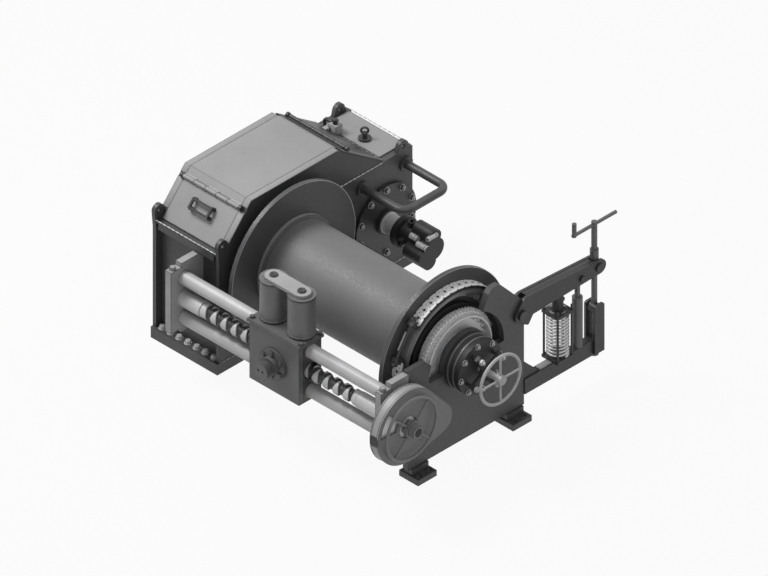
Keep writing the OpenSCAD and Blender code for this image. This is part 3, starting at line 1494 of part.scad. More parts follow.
spring_gap = min([for (i = [0 : spring_rings - 1], j = [i + 5 : 1 : spring_rings - 1])
  norm(spring_point(i) - spring_point(j))]) - 2 * spring_wire_r;
echo(least_gap_between_curls_of_the_spring = spring_gap);

// Square plate on the spring and the domed nut that bears on the lever
module spring_cap() {
  dome_top = lever_end_h - lever_end_r - 2 - seat_gap;
  color([0.7, 0.7, 0.71]) placed() difference() {
    union() {
      translate([lever_mid_x - spring_plate / 2, spring_y - spring_plate / 2, spring_top])
        cube([spring_plate, spring_plate, 14]);
      bar_z(24, lever_mid_x, spring_y, spring_top + 14, dome_top - 30);
      translate([lever_mid_x, spring_y, dome_top - 30]) cylinder(r1 = 30, r2 = 10, h = 30);
    }
    spring_guides(5 + 2 * run_fit, spring_top - 1, spring_top + 15);
  }
}

module brake_strut() {
  foot = bracket_foot_h + bracket_foot_d;
  color([0.34, 0.34, 0.35]) placed() difference() {
    bar_z(strut_r, lever_mid_x, strut_y, foot, foot + 250);
    bar_z(strut_rod_r + run_fit, lever_mid_x, strut_y, foot + 60, foot + 251);
  }
}

module strut_rod() {
  foot = bracket_foot_h + bracket_foot_d;
  color([0.78, 0.78, 0.79]) placed() difference() {
    union() {
      bar_z(strut_rod_r, lever_mid_x, strut_y, foot + 100, strut_pin_h - 16);
      bar_x(19, lever_mid_x - 10, lever_mid_x + 10, strut_y, strut_pin_h);
    }
    bar_x(9 + 1.5, lever_mid_x - 11, lever_mid_x + 11, strut_y, strut_pin_h);
  }
}

// Screw spindle with its crossbar, collars and knob
module brake_spindle() {
  low = bracket_foot_h - 20;
  above = lever_end_h + 20 + seat_gap + 2;
  color([0.5, 0.5, 0.51]) placed() {
    bar_z(spindle_r, lever_mid_x, spindle_y, low, crossbar_h);
    bar_z(spindle_r + 6, lever_mid_x, spindle_y, above + 14, above + 60);
    bar_z(spindle_r + 6, lever_mid_x, spindle_y, bracket_foot_h - 16, bracket_foot_h - seat_gap);
    bar_y(8, lever_mid_x, spindle_y - crossbar_len / 2, spindle_y + crossbar_len / 2, crossbar_h);
    bar_z(10, lever_mid_x, spindle_y - crossbar_len / 2 + 10, crossbar_h - 6, crossbar_h + 60);
    bar_z(13, lever_mid_x, spindle_y, crossbar_h - 14, crossbar_h + 14);
  }
}

base();
outer_side_plate();
inner_side_plate();
case_walls();
top_cover();
rear_cover();
front_hatch();
hatch_handle();
hatch_pin();
filler_cap();
tube_guard();
motor_mount_plate();
motor();
motor_shelf();
case_bolts();
drum_barrel();
left_flange();
right_flange();
drum_bushes();
brake_drum();
drum_hub();
ring_gear();
drum_shaft();
drum_gear();
shaft_bearings();
countershaft();
countershaft_gear();
motor_pinion();
guide_rods();
left_bracket();
right_bracket();
carriage_box();
carriage_front_plate();
carriage_top_plate();
rod_bushes();
roller_pins();
left_roller();
right_roller();
follower();
traverse_screw();
screw_gear();
level_wind_handwheel();
idler_shaft();
gear_casing();
casing_cover();
stand_plate();
stand_feet();
outboard_bearing();
clutch_sleeve();
clutch_yoke();
clutch_handwheel();
brake_band();
brake_lever();
lever_bracket();
brake_spring();
spring_cap();
brake_strut();
strut_rod();
brake_spindle();
pivot_pin();
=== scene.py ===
import bpy
import bmesh
import math
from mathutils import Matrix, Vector


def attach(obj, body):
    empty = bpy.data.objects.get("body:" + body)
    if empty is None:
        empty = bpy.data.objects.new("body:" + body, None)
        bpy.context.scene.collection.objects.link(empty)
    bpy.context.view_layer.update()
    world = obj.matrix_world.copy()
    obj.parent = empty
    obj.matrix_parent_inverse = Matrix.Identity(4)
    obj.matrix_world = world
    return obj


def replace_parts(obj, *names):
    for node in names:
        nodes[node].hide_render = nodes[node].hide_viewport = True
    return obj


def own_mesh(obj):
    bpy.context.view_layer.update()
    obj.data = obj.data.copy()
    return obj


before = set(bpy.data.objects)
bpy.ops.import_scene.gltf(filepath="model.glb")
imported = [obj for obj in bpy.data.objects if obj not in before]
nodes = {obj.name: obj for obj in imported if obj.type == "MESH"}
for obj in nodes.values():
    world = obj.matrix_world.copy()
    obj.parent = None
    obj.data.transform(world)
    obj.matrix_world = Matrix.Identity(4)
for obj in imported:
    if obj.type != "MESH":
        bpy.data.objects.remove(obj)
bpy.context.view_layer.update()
scene = bpy.context.scene
mm = 0.001
origin = {"x": 465, "y": 142.5}   # the middle of the machine, in the drawing's own frame
print("frame loaded:", len(nodes), "nodes")


# Materials. Every finish reads Object coordinates and is built from the same few steps.

def newMaterial(name):
    mat = bpy.data.materials.new(name)
    mat.use_nodes = True
    tree = mat.node_tree
    tree.nodes.clear()
    out = tree.nodes.new("ShaderNodeOutputMaterial")
    shader = tree.nodes.new("ShaderNodeBsdfPrincipled")
    tree.links.new(shader.outputs[0], out.inputs[0])
    return mat, tree, shader


def addNode(tree, kind, **values):
    node = tree.nodes.new(kind)
    for key, value in values.items():
        if key.startswith("in_"):
            node.inputs[key[3:].replace("_", " ")].default_value = value
        else:
            setattr(node, key, value)
    return node


def objectCoords(tree, scale=(1, 1, 1)):
    coords = addNode(tree, "ShaderNodeTexCoord")
    mapping = addNode(tree, "ShaderNodeMapping")
    mapping.inputs["Scale"].default_value = scale
    tree.links.new(coords.outputs["Object"], mapping.inputs["Vector"])
    return mapping.outputs["Vector"]


def noiseAt(tree, vector, scale, detail=3.0, rough=0.5):
    noise = addNode(tree, "ShaderNodeTexNoise", in_Scale=scale, in_Detail=detail, in_Roughness=rough)
    tree.links.new(vector, noise.inputs["Vector"])
    return noise.outputs["Fac"]


def rampOf(tree, source, stops):
    ramp = addNode(tree, "ShaderNodeValToRGB")
    ramp.color_ramp.elements[0].position = stops[0][0]
    ramp.color_ramp.elements[0].color = (*[stops[0][1]] * 3, 1)
    ramp.color_ramp.elements[1].position = stops[1][0]
    ramp.color_ramp.elements[1].color = (*[stops[1][1]] * 3, 1)
    tree.links.new(source, ramp.inputs[0])
    return ramp.outputs["Color"]


def mixColor(tree, factor, a, b):
    mix = addNode(tree, "ShaderNodeMix", data_type="RGBA")
    for socket, value in ((mix.inputs[0], factor), (mix.inputs[6], a), (mix.inputs[7], b)):
        if isinstance(value, bpy.types.NodeSocket):
            tree.links.new(value, socket)
        elif isinstance(value, (int, float)):
            socket.default_value = value
        else:
            socket.default_value = (*value, 1)
    return mix.outputs[2]


def edgeMask(tree, width):
    # How far the rounded normal departs from the flat one: 1 on sharp edges, 0 on faces
    bevel = addNode(tree, "ShaderNodeBevel", samples=4, in_Radius=width)
    geometry = addNode(tree, "ShaderNodeNewGeometry")
    dot = addNode(tree, "ShaderNodeVectorMath", operation="DOT_PRODUCT")
    tree.links.new(bevel.outputs[0], dot.inputs[0])
    tree.links.new(geometry.outputs["Normal"], dot.inputs[1])
    return rampOf(tree, dot.outputs["Value"], ((0.86, 1.0), (0.985, 0.0)))


def bumpFrom(tree, shader, height, strength, distance):
    bump = addNode(tree, "ShaderNodeBump", in_Strength=strength, in_Distance=distance)
    tree.links.new(height, bump.inputs["Height"])
    tree.links.new(bump.outputs["Normal"], shader.inputs["Normal"])


def shareOf(color, share, add=0.0):
    return [min(1, c * share + add) for c in color]


def coverShader(tree, shader, tone, worn, edgeWidth, grain, smooth, rough):
    # The tone with its worn edges, and a roughness between two values that follows the grain
    base = mixColor(tree, edgeMask(tree, edgeWidth), tone, worn)
    tree.links.new(base, shader.inputs["Base Color"])
    tree.links.new(rampOf(tree, grain, ((0.3, smooth), (0.7, rough))), shader.inputs["Roughness"])


def paintFinish(name, color, roughness, edge, edgeWidth=0.0022):
    # Sprayed enamel: orange peel, faint dust in broad patches, and dark lines where edges are handled
    mat, tree, shader = newMaterial(name)
    where = objectCoords(tree)
    dust = rampOf(tree, noiseAt(tree, where, scale=3.5, detail=5.0, rough=0.6), ((0.35, 0.0), (0.75, 1.0)))
    tone = mixColor(tree, dust, shareOf(color, 0.93), shareOf(color, 1.09, add=0.004))
    coverShader(tree, shader, tone, shareOf(color, edge), edgeWidth, noiseAt(tree, where, scale=90.0),
                smooth=roughness - 0.06, rough=roughness + 0.08)
    bumpFrom(tree, shader, noiseAt(tree, where, scale=420.0, detail=2.0), strength=0.12, distance=0.0004)
    return mat


def turnedFinish(name, color, roughness, stretch, edge, metallic, edgeWidth=0.0016, grooveShade=None):
    # Machined steel: fine tool marks, stretched along the cut
    mat, tree, shader = newMaterial(name)
    marks = noiseAt(tree, objectCoords(tree, stretch), scale=60.0, detail=4.0, rough=0.6)
    cloud = rampOf(tree, noiseAt(tree, objectCoords(tree), scale=6.0, detail=4.0), ((0.35, 0.0), (0.7, 1.0)))
    tone = mixColor(tree, cloud, shareOf(color, 0.88), shareOf(color, 1.06))
    if grooveShade:      # painted shade in the grooves, where the piece's own attribute says so
        depth = addNode(tree, "ShaderNodeAttribute", attribute_name=grooveShade)
        tone = mixColor(tree, rampOf(tree, depth.outputs["Fac"], ((0.12, 0.0), (0.5, 1.0))), tone,
                        shareOf(color, 0.05))
    shader.inputs["Metallic"].default_value = metallic
    coverShader(tree, shader, tone, shareOf(color, edge), edgeWidth, marks,
                smooth=roughness - 0.07, rough=roughness + 0.1)
    bumpFrom(tree, shader, marks, strength=0.10, distance=0.0002)
    return mat


def castFinish(name, color, roughness, metallic):
    # Cast metal: a grainy skin with shallow pits
    mat, tree, shader = newMaterial(name)
    where = objectCoords(tree)
    grain = noiseAt(tree, where, scale=260.0, detail=5.0, rough=0.65)
    cloud = rampOf(tree, noiseAt(tree, where, scale=9.0, detail=4.0), ((0.3, 0.0), (0.7, 1.0)))
    tone = mixColor(tree, cloud, shareOf(color, 0.86), shareOf(color, 1.08))
    shader.inputs["Metallic"].default_value = metallic
    coverShader(tree, shader, tone, shareOf(color, 0.5), 0.0016, grain,
                smooth=roughness - 0.05, rough=roughness + 0.1)
    bumpFrom(tree, shader, grain, strength=0.3, distance=0.0005)
    return mat


# After the name: colour, roughness, for turned ones the stretch of the marks, then for painted and turned
# ones the share of the colour left on edges, for turned and cast ones how metallic, and the edges' width

finishes = {
    "darkPaint": paintFinish("darkPaint", (0.050, 0.050, 0.053), 0.47, 0.12, 0.006),
    "leverPaint": paintFinish("leverPaint", (0.023, 0.023, 0.025), 0.48, 0.2, 0.005),
    "blackPaint": paintFinish("blackPaint", (0.024, 0.024, 0.026), 0.40, 0.3, 0.003),
    "greyPaint": paintFinish("greyPaint", (0.262, 0.262, 0.262), 0.55, 0.04, 0.007),
    "casingGrey": paintFinish("casingGrey", (0.175, 0.175, 0.178), 0.50, 0.06, 0.006),
    "plateGrey": paintFinish("plateGrey", (0.102, 0.102, 0.105), 0.48, 0.08, 0.007),
    "drumGrey": paintFinish("drumGrey", (0.140, 0.140, 0.143), 0.56, 0.08, 0.006),
    "rollerGrey": turnedFinish("rollerGrey", (0.150, 0.150, 0.153), 0.46, (1, 1, 14), 0.12, 0.2, 0.004),
    "rodSteel": turnedFinish("rodSteel", (0.44, 0.44, 0.445), 0.50, (14, 1, 1), 0.05, 0.1, 0.006),
    "plateSteel": turnedFinish("plateSteel", (0.34, 0.34, 0.345), 0.52, (1, 9, 1), 0.04, 0.1, 0.008),
    "midSteel": turnedFinish("midSteel", (0.120, 0.120, 0.123), 0.44, (1, 1, 9), 0.2, 0.4, 0.003),
    "gearSteel": turnedFinish("gearSteel", (0.78, 0.78, 0.785), 0.42, (9, 1, 1), 0.06, 0.1, 0.003),
    "hubSteel": turnedFinish("hubSteel", (0.20, 0.20, 0.203), 0.42, (9, 1, 1), 0.15, 0.4, 0.0035),
    "motorMetal": castFinish("motorMetal", (0.72, 0.72, 0.725), 0.5, 0.1),
    "darkCasting": castFinish("darkCasting", (0.028, 0.028, 0.030), 0.5, 0.2),
    "bronze": turnedFinish("bronze", (0.21, 0.185, 0.15), 0.42, (9, 1, 1), 0.2, 0.6),
    "zinc": castFinish("zinc", (0.46, 0.46, 0.465), 0.48, 0.25),
    "bandSteel": turnedFinish("bandSteel", (0.86, 0.86, 0.86), 0.55, (9, 1, 1), 0.3, 0.05, 0.0012),
    "bandDark": paintFinish("bandDark", (0.020, 0.020, 0.021), 0.55, 0.5),
    # pale steel for nuts, and the painted highlights on the flange corners and along the rim edges
    "paleSteelAndHighlights": castFinish("paleSteelAndHighlights", (0.50, 0.50, 0.50), 0.45, 0.2),
    "wheelSteel": turnedFinish("wheelSteel", (0.42, 0.42, 0.42), 0.45, (9, 9, 1), 0.25, 0.1, 0.0016),
    # its grooves are darkened by the screw's groove attribute, as painted shade
    "screwSteel": turnedFinish("screwSteel", (0.52, 0.52, 0.525), 0.45, (9, 1, 1), 0.05, 0.1, 0.005,
                               "groove"),
    "springSteel": turnedFinish("springSteel", (0.62, 0.62, 0.62), 0.42, (1, 1, 9), 0.15, 0.25),
}
print("finishes made:", len(finishes))


# The finish of each CAD node, also of the four that are replaced further down

nodeFinish = {
    "darkPaint": ["base", "outer_side_plate", "inner_side_plate", "case_walls", "tube_guard",
                  "motor_shelf", "left_flange", "right_flange", "stand_plate", "stand_feet",
                  "carriage_box"],
    "leverPaint": ["brake_lever", "lever_bracket"],
    "plateGrey": ["carriage_front_plate", "carriage_top_plate"],
    "blackPaint": ["hatch_handle", "hatch_pin", "filler_cap", "motor_mount_plate", "pivot_pin"],
    "darkCasting": ["clutch_yoke", "outboard_bearing", "shaft_bearings", "drum_hub", "motor", "spring_cap"],
    "greyPaint": ["top_cover", "rear_cover", "front_hatch"],
    "casingGrey": ["gear_casing", "casing_cover", "level_wind_handwheel"],
    "drumGrey": ["drum_barrel"],
    "hubSteel": ["brake_drum"],
    "midSteel": ["follower", "strut_rod", "brake_spindle", "brake_strut"],
    "rodSteel": ["drum_shaft", "countershaft", "guide_rods", "traverse_screw"],
    "plateSteel": ["left_bracket", "right_bracket", "roller_pins"],
    "gearSteel": ["drum_gear", "countershaft_gear", "motor_pinion", "ring_gear",
                  "screw_gear", "idler_shaft", "clutch_sleeve"],
    "bronze": ["drum_bushes", "rod_bushes"],
    "rollerGrey": ["left_roller", "right_roller"],
    "zinc": ["case_bolts"],
    "bandDark": ["brake_band"],
    "springSteel": ["brake_spring"],
    "wheelSteel": ["clutch_handwheel"],
}
for finish, names in nodeFinish.items():
    for name in names:
        mesh = nodes[name].data
        mesh.materials.clear()
        mesh.materials.append(finishes[finish])
print("finishes given to", sum(len(n) for n in nodeFinish.values()), "nodes")


# Stage, light and camera

def whiteForViewers(tree, lit, strength=1.0):
    # Seen straight on or in a reflection it is white; for every other ray it is the lit finish
    rays = addNode(tree, "ShaderNodeLightPath")
    seen = addNode(tree, "ShaderNodeMath", operation="MAXIMUM")
    tree.links.new(rays.outputs["Is Camera Ray"], seen.inputs[0])
    tree.links.new(rays.outputs["Is Glossy Ray"], seen.inputs[1])
    both = addNode(tree, "ShaderNodeMath", operation="MAXIMUM")
    tree.links.new(seen.outputs[0], both.inputs[0])
    tree.links.new(rays.outputs["Is Transmission Ray"], both.inputs[1])
    share = addNode(tree, "ShaderNodeMath", operation="MULTIPLY")
    share.inputs[1].default_value = strength
    tree.links.new(both.outputs[0], share.inputs[0])
    white = addNode(tree, "ShaderNodeEmission", in_Color=(1, 1, 1, 1), in_Strength=1.0)
    mix = addNode(tree, "ShaderNodeMixShader")
    tree.links.new(share.outputs[0], mix.inputs[0])
    tree.links.new(lit.outputs[0], mix.inputs[1])
    tree.links.new(white.outputs[0], mix.inputs[2])
    return mix


stage = {"size": 40.0, "grey": 0.5, "roughness": 0.9, "white": 0.93, "sky": 0.34}


def makeStage():
    s = stage["size"]
    mesh = bpy.data.meshes.new("floor")
    mesh.from_pydata([(-s, -s, 0), (s, -s, 0), (s, s, 0), (-s, s, 0)], [], [(0, 1, 2, 3)])
    floor = bpy.data.objects.new("floor", mesh)
    scene.collection.objects.link(floor)
    mat, tree, shader = newMaterial("floorWhite")
    shader.inputs["Base Color"].default_value = (*[stage["grey"]] * 3, 1)
    shader.inputs["Roughness"].default_value = stage["roughness"]
    out = [n for n in tree.nodes if n.type == "OUTPUT_MATERIAL"][0]
    tree.links.new(whiteForViewers(tree, shader, stage["white"]).outputs[0], out.inputs[0])
    mesh.materials.append(mat)
    world = bpy.data.worlds.new("studio")
    world.use_nodes = True
    sky = world.node_tree.nodes["Background"]
    sky.inputs[0].default_value = (1, 1, 1, 1)
    sky.inputs[1].default_value = stage["sky"]
    worldOut = [n for n in world.node_tree.nodes if n.type == "OUTPUT_WORLD"][0]
    world.node_tree.links.new(whiteForViewers(world.node_tree, sky).outputs[0], worldOut.inputs[0])
    scene.world = world


lamps = {
    "keyLamp": {"place": (-2.6, -1.4, 4.5), "size": 1.8, "watts": 200},
    "fillLamp": {"place": (4.5, -3.0, 3.0), "size": 3.0, "watts": 45},
    "backLamp": {"place": (1.0, 5.0, 4.5), "size": 3.0, "watts": 70},
}
lampAim = (0, 0, 0.4)


def makeLamps():
    for name, lamp in lamps.items():
        light = bpy.data.lights.new(name, "AREA")
        light.size = lamp["size"]
        light.energy = lamp["watts"]
        obj = bpy.data.objects.new(name, light)
        obj.location = lamp["place"]
        obj.rotation_euler = (Vector(lampAim) - Vector(lamp["place"])).to_track_quat("-Z", "Y").to_euler()
        scene.collection.objects.link(obj)


camera = {
    "aim": (0.1423, -0.1288, 0.5634),   # the point in the middle of the picture
    "width": 3.2,                      # what the picture is wide, at 0.24 pixels a millimetre
    "distance": 12.0,
}


def makeCamera():
    data = bpy.data.cameras.new("isometric")
    data.type = "ORTHO"
    data.ortho_scale = camera["width"]
    data.clip_end = 100.0
    obj = bpy.data.objects.new("isometric", data)
    away = Vector((1, -1, 1)).normalized()
    obj.location = Vector(camera["aim"]) + away * camera["distance"]
    obj.rotation_euler = (-away).to_track_quat("-Z", "Y").to_euler()
    scene.collection.objects.link(obj)
    scene.camera = obj


makeStage()
makeLamps()
makeCamera()
scene.view_settings.view_transform = "Standard"
print("stage, lamps and camera placed")


# Shared makers. Sizes in the dictionaries below are in millimetres in the drawing's frame:
# x from the inner gear-case plate, y from the drum's axis, z from the deck.

def at(x, y, z):
    return Vector(((x - origin["x"]) * mm, (y - origin["y"]) * mm, z * mm))


def newPiece(name, mesh, body, finish, angle=40):
    obj = bpy.data.objects.new(name, mesh)
    scene.collection.objects.link(obj)
    if finish:
        mesh.materials.clear()
        mesh.materials.append(finishes[finish])
    mesh.shade_smooth()
    mesh.set_sharp_from_angle(angle=math.radians(angle))
    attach(obj, body)
    return obj


def skinRings(bm, rings, ends="capped"):
    # Faces between each ring of points and the next; the ends are "capped", "open" or "joined"
    sides = len(rings[0])
    for low, high in zip(rings, rings[1:] + (rings[:1] if ends == "joined" else [])):
        for k in range(sides):
            n = (k + 1) % sides
            bm.faces.new((low[k], low[n], high[n], high[k]))
    if ends == "capped":
        bm.faces.new(list(reversed(rings[0])))
        bm.faces.new(rings[-1])


def meshOf(bm, name):
    mesh = bpy.data.meshes.new(name)
    bm.to_mesh(mesh)
    bm.free()
    return mesh


def closedMesh(bm, name):
    bmesh.ops.recalc_face_normals(bm, faces=bm.faces)
    return meshOf(bm, name)


def latheMesh(name, stations, y, z, sides, ends="capped"):
    # A turned shape along X. Stations are (x, radius); a radius can be a function of x and the side
    bm = bmesh.new()
    rings = []
    for x, radius in stations:
        ring = []
        for k in range(sides):
            a = 2 * math.pi * k / sides
            r = radius(x, k) if callable(radius) else radius
            ring.append(bm.verts.new(at(x, y + r * math.cos(a), z + r * math.sin(a))))
        rings.append(ring)
    skinRings(bm, rings, ends)
    return closedMesh(bm, name)


def tubeMesh(name, path, radius, sides=14):
    # A round bar along a path of points in metres
    bm = bmesh.new()
    rings = []
    up = Vector((0, 0, 1))
    for i, point in enumerate(path):
        ahead = (path[min(i + 1, len(path) - 1)] - path[max(i - 1, 0)]).normalized()
        side = ahead.cross(up)
        side = side.normalized() if side.length > 1e-4 else Vector((1, 0, 0))
        over = side.cross(ahead).normalized()
        rings.append([bm.verts.new(point + radius * (math.cos(a) * side + math.sin(a) * over))
                      for a in (2 * math.pi * k / sides for k in range(sides))])
    skinRings(bm, rings)
    return closedMesh(bm, name)


# The cross-cut screw: two grooves of opposite hand that fade out at the turning points

screwBar = {
    "start": 18, "length": 880, "radius": 34, "root": 25, "lead": 60, "groove": 17, "wall": 5,
    "fade": 20, "y": -434, "z": 373, "alongStep": 2.0, "sides": 96,
    "leftEnd": [(-161, 29), (-159, 31), (-126, 31), (-125.7, 37), (-2, 37), (0, 34)],
    "rightEnd": [(916, 34), (918, 37), (1076.4, 37), (1076.7, 31), (1193, 31), (1193.3, 20),
                 (1227, 20), (1229, 18)],
}


def grooveRadius(x, k):
    s = screwBar
    along = x - s["start"]
    edge = max(0, min(1, min(along, s["length"] - along) / s["fade"]))
    dip = 0
    for hand in (1, -1):
        p = along / s["lead"] - hand * k / s["sides"]
        d = abs(p - round(p)) * s["lead"]
        t = min(1, max(0, (s["groove"] / 2 + s["wall"] - d) / s["wall"]))
        dip = max(dip, t * t * (3 - 2 * t))
    return s["radius"] - (s["radius"] - s["root"]) * edge * dip


def makeScrew():
    s = screwBar
    steps = int(s["length"] / s["alongStep"])
    middle = [(s["start"] + s["length"] * i / steps, grooveRadius) for i in range(steps + 1)]
    mesh = latheMesh("crossCutScrew", s["leftEnd"] + middle + s["rightEnd"], s["y"], s["z"], s["sides"])
    # groove depth at each point, by which the finish paints shade into the grooves
    groove = mesh.attributes.new("groove", "FLOAT", "POINT")
    axis = at(0, s["y"], s["z"])
    for vertex, value in zip(mesh.vertices, groove.data):
        along = vertex.co.x / mm + origin["x"] - s["start"]
        out = math.hypot(vertex.co.y - axis.y, vertex.co.z - axis.z) / mm
        depth = max(0, min(1, (s["radius"] - out) / (s["radius"] - s["root"])))
        value.value = depth if 0 < along < s["length"] else 0
    screw = newPiece("crossCutScrew", mesh, "screw", "screwSteel", angle=50)
    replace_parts(screw, "traverse_screw")


makeScrew()
print("cross-cut screw made")


# The brake's coil spring, at an even pitch between its seats

brakeSpring = {"x": 1092, "y": 553, "foot": 200, "length": 214, "radius": 44, "wire": 5,
               "seat": 0.3, "turns": 12, "perTurn": 40, "stroke": 11.2}


def makeSpring():
    s = brakeSpring
    path = []
    total = s["turns"] * s["perTurn"]
    ends = s["wire"] + s["seat"]
    for i in range(total + 1):
        t = i / total
        a = 2 * math.pi * s["turns"] * t
        path.append(at(s["x"] + s["radius"] * math.cos(a), s["y"] + s["radius"] * math.sin(a),
                       s["foot"] + ends + (s["length"] - 2 * ends) * t))
    spring = newPiece("brakeSpringCoil", tubeMesh("brakeSpringCoil", path, s["wire"] * mm), "frame",
                      "springSteel", angle=70)
    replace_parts(spring, "brake_spring")
    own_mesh(spring)


makeSpring()
print("brake spring made")


# Geometry Nodes: shapes set on points that carry their direction

def startTree(name, values):
    # A tree with a socket for each named number and one for the finish; gives the tree and its inputs
    tree = bpy.data.node_groups.new(name, "GeometryNodeTree")
    for way in ("INPUT", "OUTPUT"):
        tree.interface.new_socket("Geometry", in_out=way, socket_type="NodeSocketGeometry")
    for key, value in values.items():
        kind = "NodeSocketInt" if isinstance(value, int) else "NodeSocketFloat"
        tree.interface.new_socket(key, in_out="INPUT", socket_type=kind).default_value = value
    tree.interface.new_socket("Finish", in_out="INPUT", socket_type="NodeSocketMaterial")
    return tree, tree.nodes.new("NodeGroupInput").outputs


def geoNode(tree, kind, inputs=None, **values):
    node = tree.nodes.new(kind)
    for key, value in values.items():
        setattr(node, key, value)
    for key, value in (inputs or {}).items():
        if isinstance(value, bpy.types.NodeSocket):
            tree.links.new(value, node.inputs[key])
        else:
            node.inputs[key].default_value = value
    return node


def setOnPoints(tree, value, shape, **more):
    # The shape on every point, turned to its direction, made real and given the finish
    aim = geoNode(tree, "GeometryNodeInputNamedAttribute", {"Name": "aim"}, data_type="FLOAT_VECTOR")
    turn = geoNode(tree, "FunctionNodeAlignRotationToVector", {"Vector": aim.outputs[0]}, axis="Z")
    place = geoNode(tree, "GeometryNodeInstanceOnPoints", {
        "Points": value["Geometry"], "Instance": shape, "Rotation": turn.outputs[0], **more})
    real = geoNode(tree, "GeometryNodeRealizeInstances", {"Geometry": place.outputs[0]})
    coat = geoNode(tree, "GeometryNodeSetMaterial", {"Geometry": real.outputs[0],
                                                     "Material": value["Finish"]})
    end = tree.nodes.new("NodeGroupOutput")
    tree.links.new(coat.outputs[0], end.inputs[0])
    return tree


def runTree(name, spots, tree, values):
    # The tree on spots of (x, y, z, direction) in the drawing's frame, as a plain mesh
    source = bpy.data.meshes.new(name)
    source.from_pydata([at(*spot[:3]) for spot in spots], [], [])
    aim = source.attributes.new("aim", "FLOAT_VECTOR", "POINT")
    for spot, point in zip(spots, aim.data):
        point.vector = spot[3]
    carrier = bpy.data.objects.new(name, source)
    scene.collection.objects.link(carrier)
    modifier = carrier.modifiers.new(name, "NODES")
    modifier.node_group = tree
    for item in tree.interface.items_tree:
        if item.item_type == "SOCKET" and item.in_out == "INPUT" and item.name in values:
            modifier[item.identifier] = values[item.name]
    bpy.context.view_layer.update()
    evaluated = carrier.evaluated_get(bpy.context.evaluated_depsgraph_get())
    mesh = bpy.data.meshes.new_from_object(evaluated)
    bpy.data.objects.remove(carrier)
    mesh.name = name
    kept = [m for m in mesh.materials if m]   # the carrier's own empty slot goes
    mesh.materials.clear()
    for material in kept:
        mesh.materials.append(material)
    mesh.polygons.foreach_set("material_index", [0] * len(mesh.polygons))
    return mesh


# Fasteners: the tree's own sizes in metres, and the chamfer's shares of the head's height and radius

fastenerSizes = {"Head Radius": 0.011, "Head Height": 0.011, "Washer Radius": 0.015,
                 "Washer Height": 0.0025, "Stud Radius": 0.006, "Stud Height": 0.0, "Head Sides": 6}
headChamfer = {"height": 0.18, "top": 0.84}


def fastenerTree():
    # A washer, a six-sided head with a chamfered top, and a short thread end where asked
    tree, value = startTree("fasteners", fastenerSizes)

    def stack(radius, height, base, sides, top=None):
        # A cone or cylinder standing on its own base height
        cone = geoNode(tree, "GeometryNodeMeshCone", {"Vertices": sides, "Radius Top": top or radius,
                                                     "Radius Bottom": radius, "Depth": height})
        if base is None:
            return cone.outputs["Mesh"]
        lift = geoNode(tree, "ShaderNodeCombineXYZ", {"Z": base})
        move = geoNode(tree, "GeometryNodeTransform", {"Geometry": cone.outputs["Mesh"],
                                                       "Translation": lift.outputs[0]})
        return move.outputs[0]

    def maths(operation, a, b):
        return geoNode(tree, "ShaderNodeMath", {0: a, 1: b}, operation=operation).outputs[0]

    chamferHeight = maths("MULTIPLY", value["Head Height"], headChamfer["height"])
    bodyHeight = maths("MULTIPLY", value["Head Height"], 1 - headChamfer["height"])
    chamferTop = maths("MULTIPLY", value["Head Radius"], headChamfer["top"])
    chamferBase = maths("ADD", value["Washer Height"], bodyHeight)
    studBase = maths("ADD", value["Washer Height"], value["Head Height"])
    join = geoNode(tree, "GeometryNodeJoinGeometry")
    for part in (stack(value["Stud Radius"], value["Stud Height"], studBase, 16),
                 stack(value["Head Radius"], chamferHeight, chamferBase, value["Head Sides"], chamferTop),
                 stack(value["Head Radius"], bodyHeight, value["Washer Height"], value["Head Sides"]),
                 stack(value["Washer Radius"], value["Washer Height"], None, 24)):
        tree.links.new(part, join.inputs[0])
    return setOnPoints(tree, value, join.outputs[0])


fastenerNodes = fastenerTree()


def setFasteners(name, body, finish, spots, sizes):
    # Sizes in millimetres, in the order of fastenerSizes
    values = dict(zip(fastenerSizes, [size * mm for size in sizes]))
    values["Finish"] = finishes[finish]
    mesh = runTree(name, spots, fastenerNodes, values)
    return newPiece(name, mesh, body, None, angle=30)


# Bolts, washers and thread ends: a row on the deck, and rings about an axis along X

deckRow = {"count": 7, "first": -349, "step": 50.833, "y": -337, "z": 55,
           "sizes": (13.5, 14, 17.5, 3, 8, 1)}
boltRings = {
    "motorPlateWashers": {"body": "frame", "x": 14, "y": 621.36, "z": 303.95, "radius": 157,
                          "count": 10, "first": 18, "sizes": (12.6, 11.2, 16.5, 2.5, 6, 3)},
    "hubWashers": {"body": "drum", "x": 986, "y": 0, "z": 453, "radius": 254,
                   "count": 16, "first": 0, "sizes": (10.3, 10.2, 14.5, 2.2, 5, 3)},
    "shaftCoverWashers": {"body": "frame", "x": 14, "y": 0, "z": 453, "radius": 112,
                          "count": 8, "first": 22.5, "sizes": (11.4, 10.2, 15.5, 2.2, 5.5, 3)},
    "housingWashers": {"body": "frame", "x": 1187, "y": 0, "z": 453, "radius": 114,
                       "count": 8, "first": 7.5, "sizes": (10.3, 9.2, 14.2, 2.2, 5, 3)},
}


def ringSpots(ring):
    spots = []
    for i in range(ring["count"]):
        a = math.radians(ring["first"] + 360 * i / ring["count"])
        spots.append((ring["x"], ring["y"] + ring["radius"] * math.cos(a),
                      ring["z"] + ring["radius"] * math.sin(a), (1, 0, 0)))
    return spots


def makeBolts():
    row = deckRow
    spots = [(row["first"] + row["step"] * i, row["y"], row["z"], (0, 0, 1)) for i in range(row["count"])]
    bolts = setFasteners("deckBolts", "frame", "zinc", spots, row["sizes"])
    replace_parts(bolts, "case_bolts")
    for name, ring in boltRings.items():
        setFasteners(name, ring["body"], "zinc", ringSpots(ring), ring["sizes"])


makeBolts()
print("bolts and washers set")


# The brake band's cover plates: one notched and drilled plate for each lining block

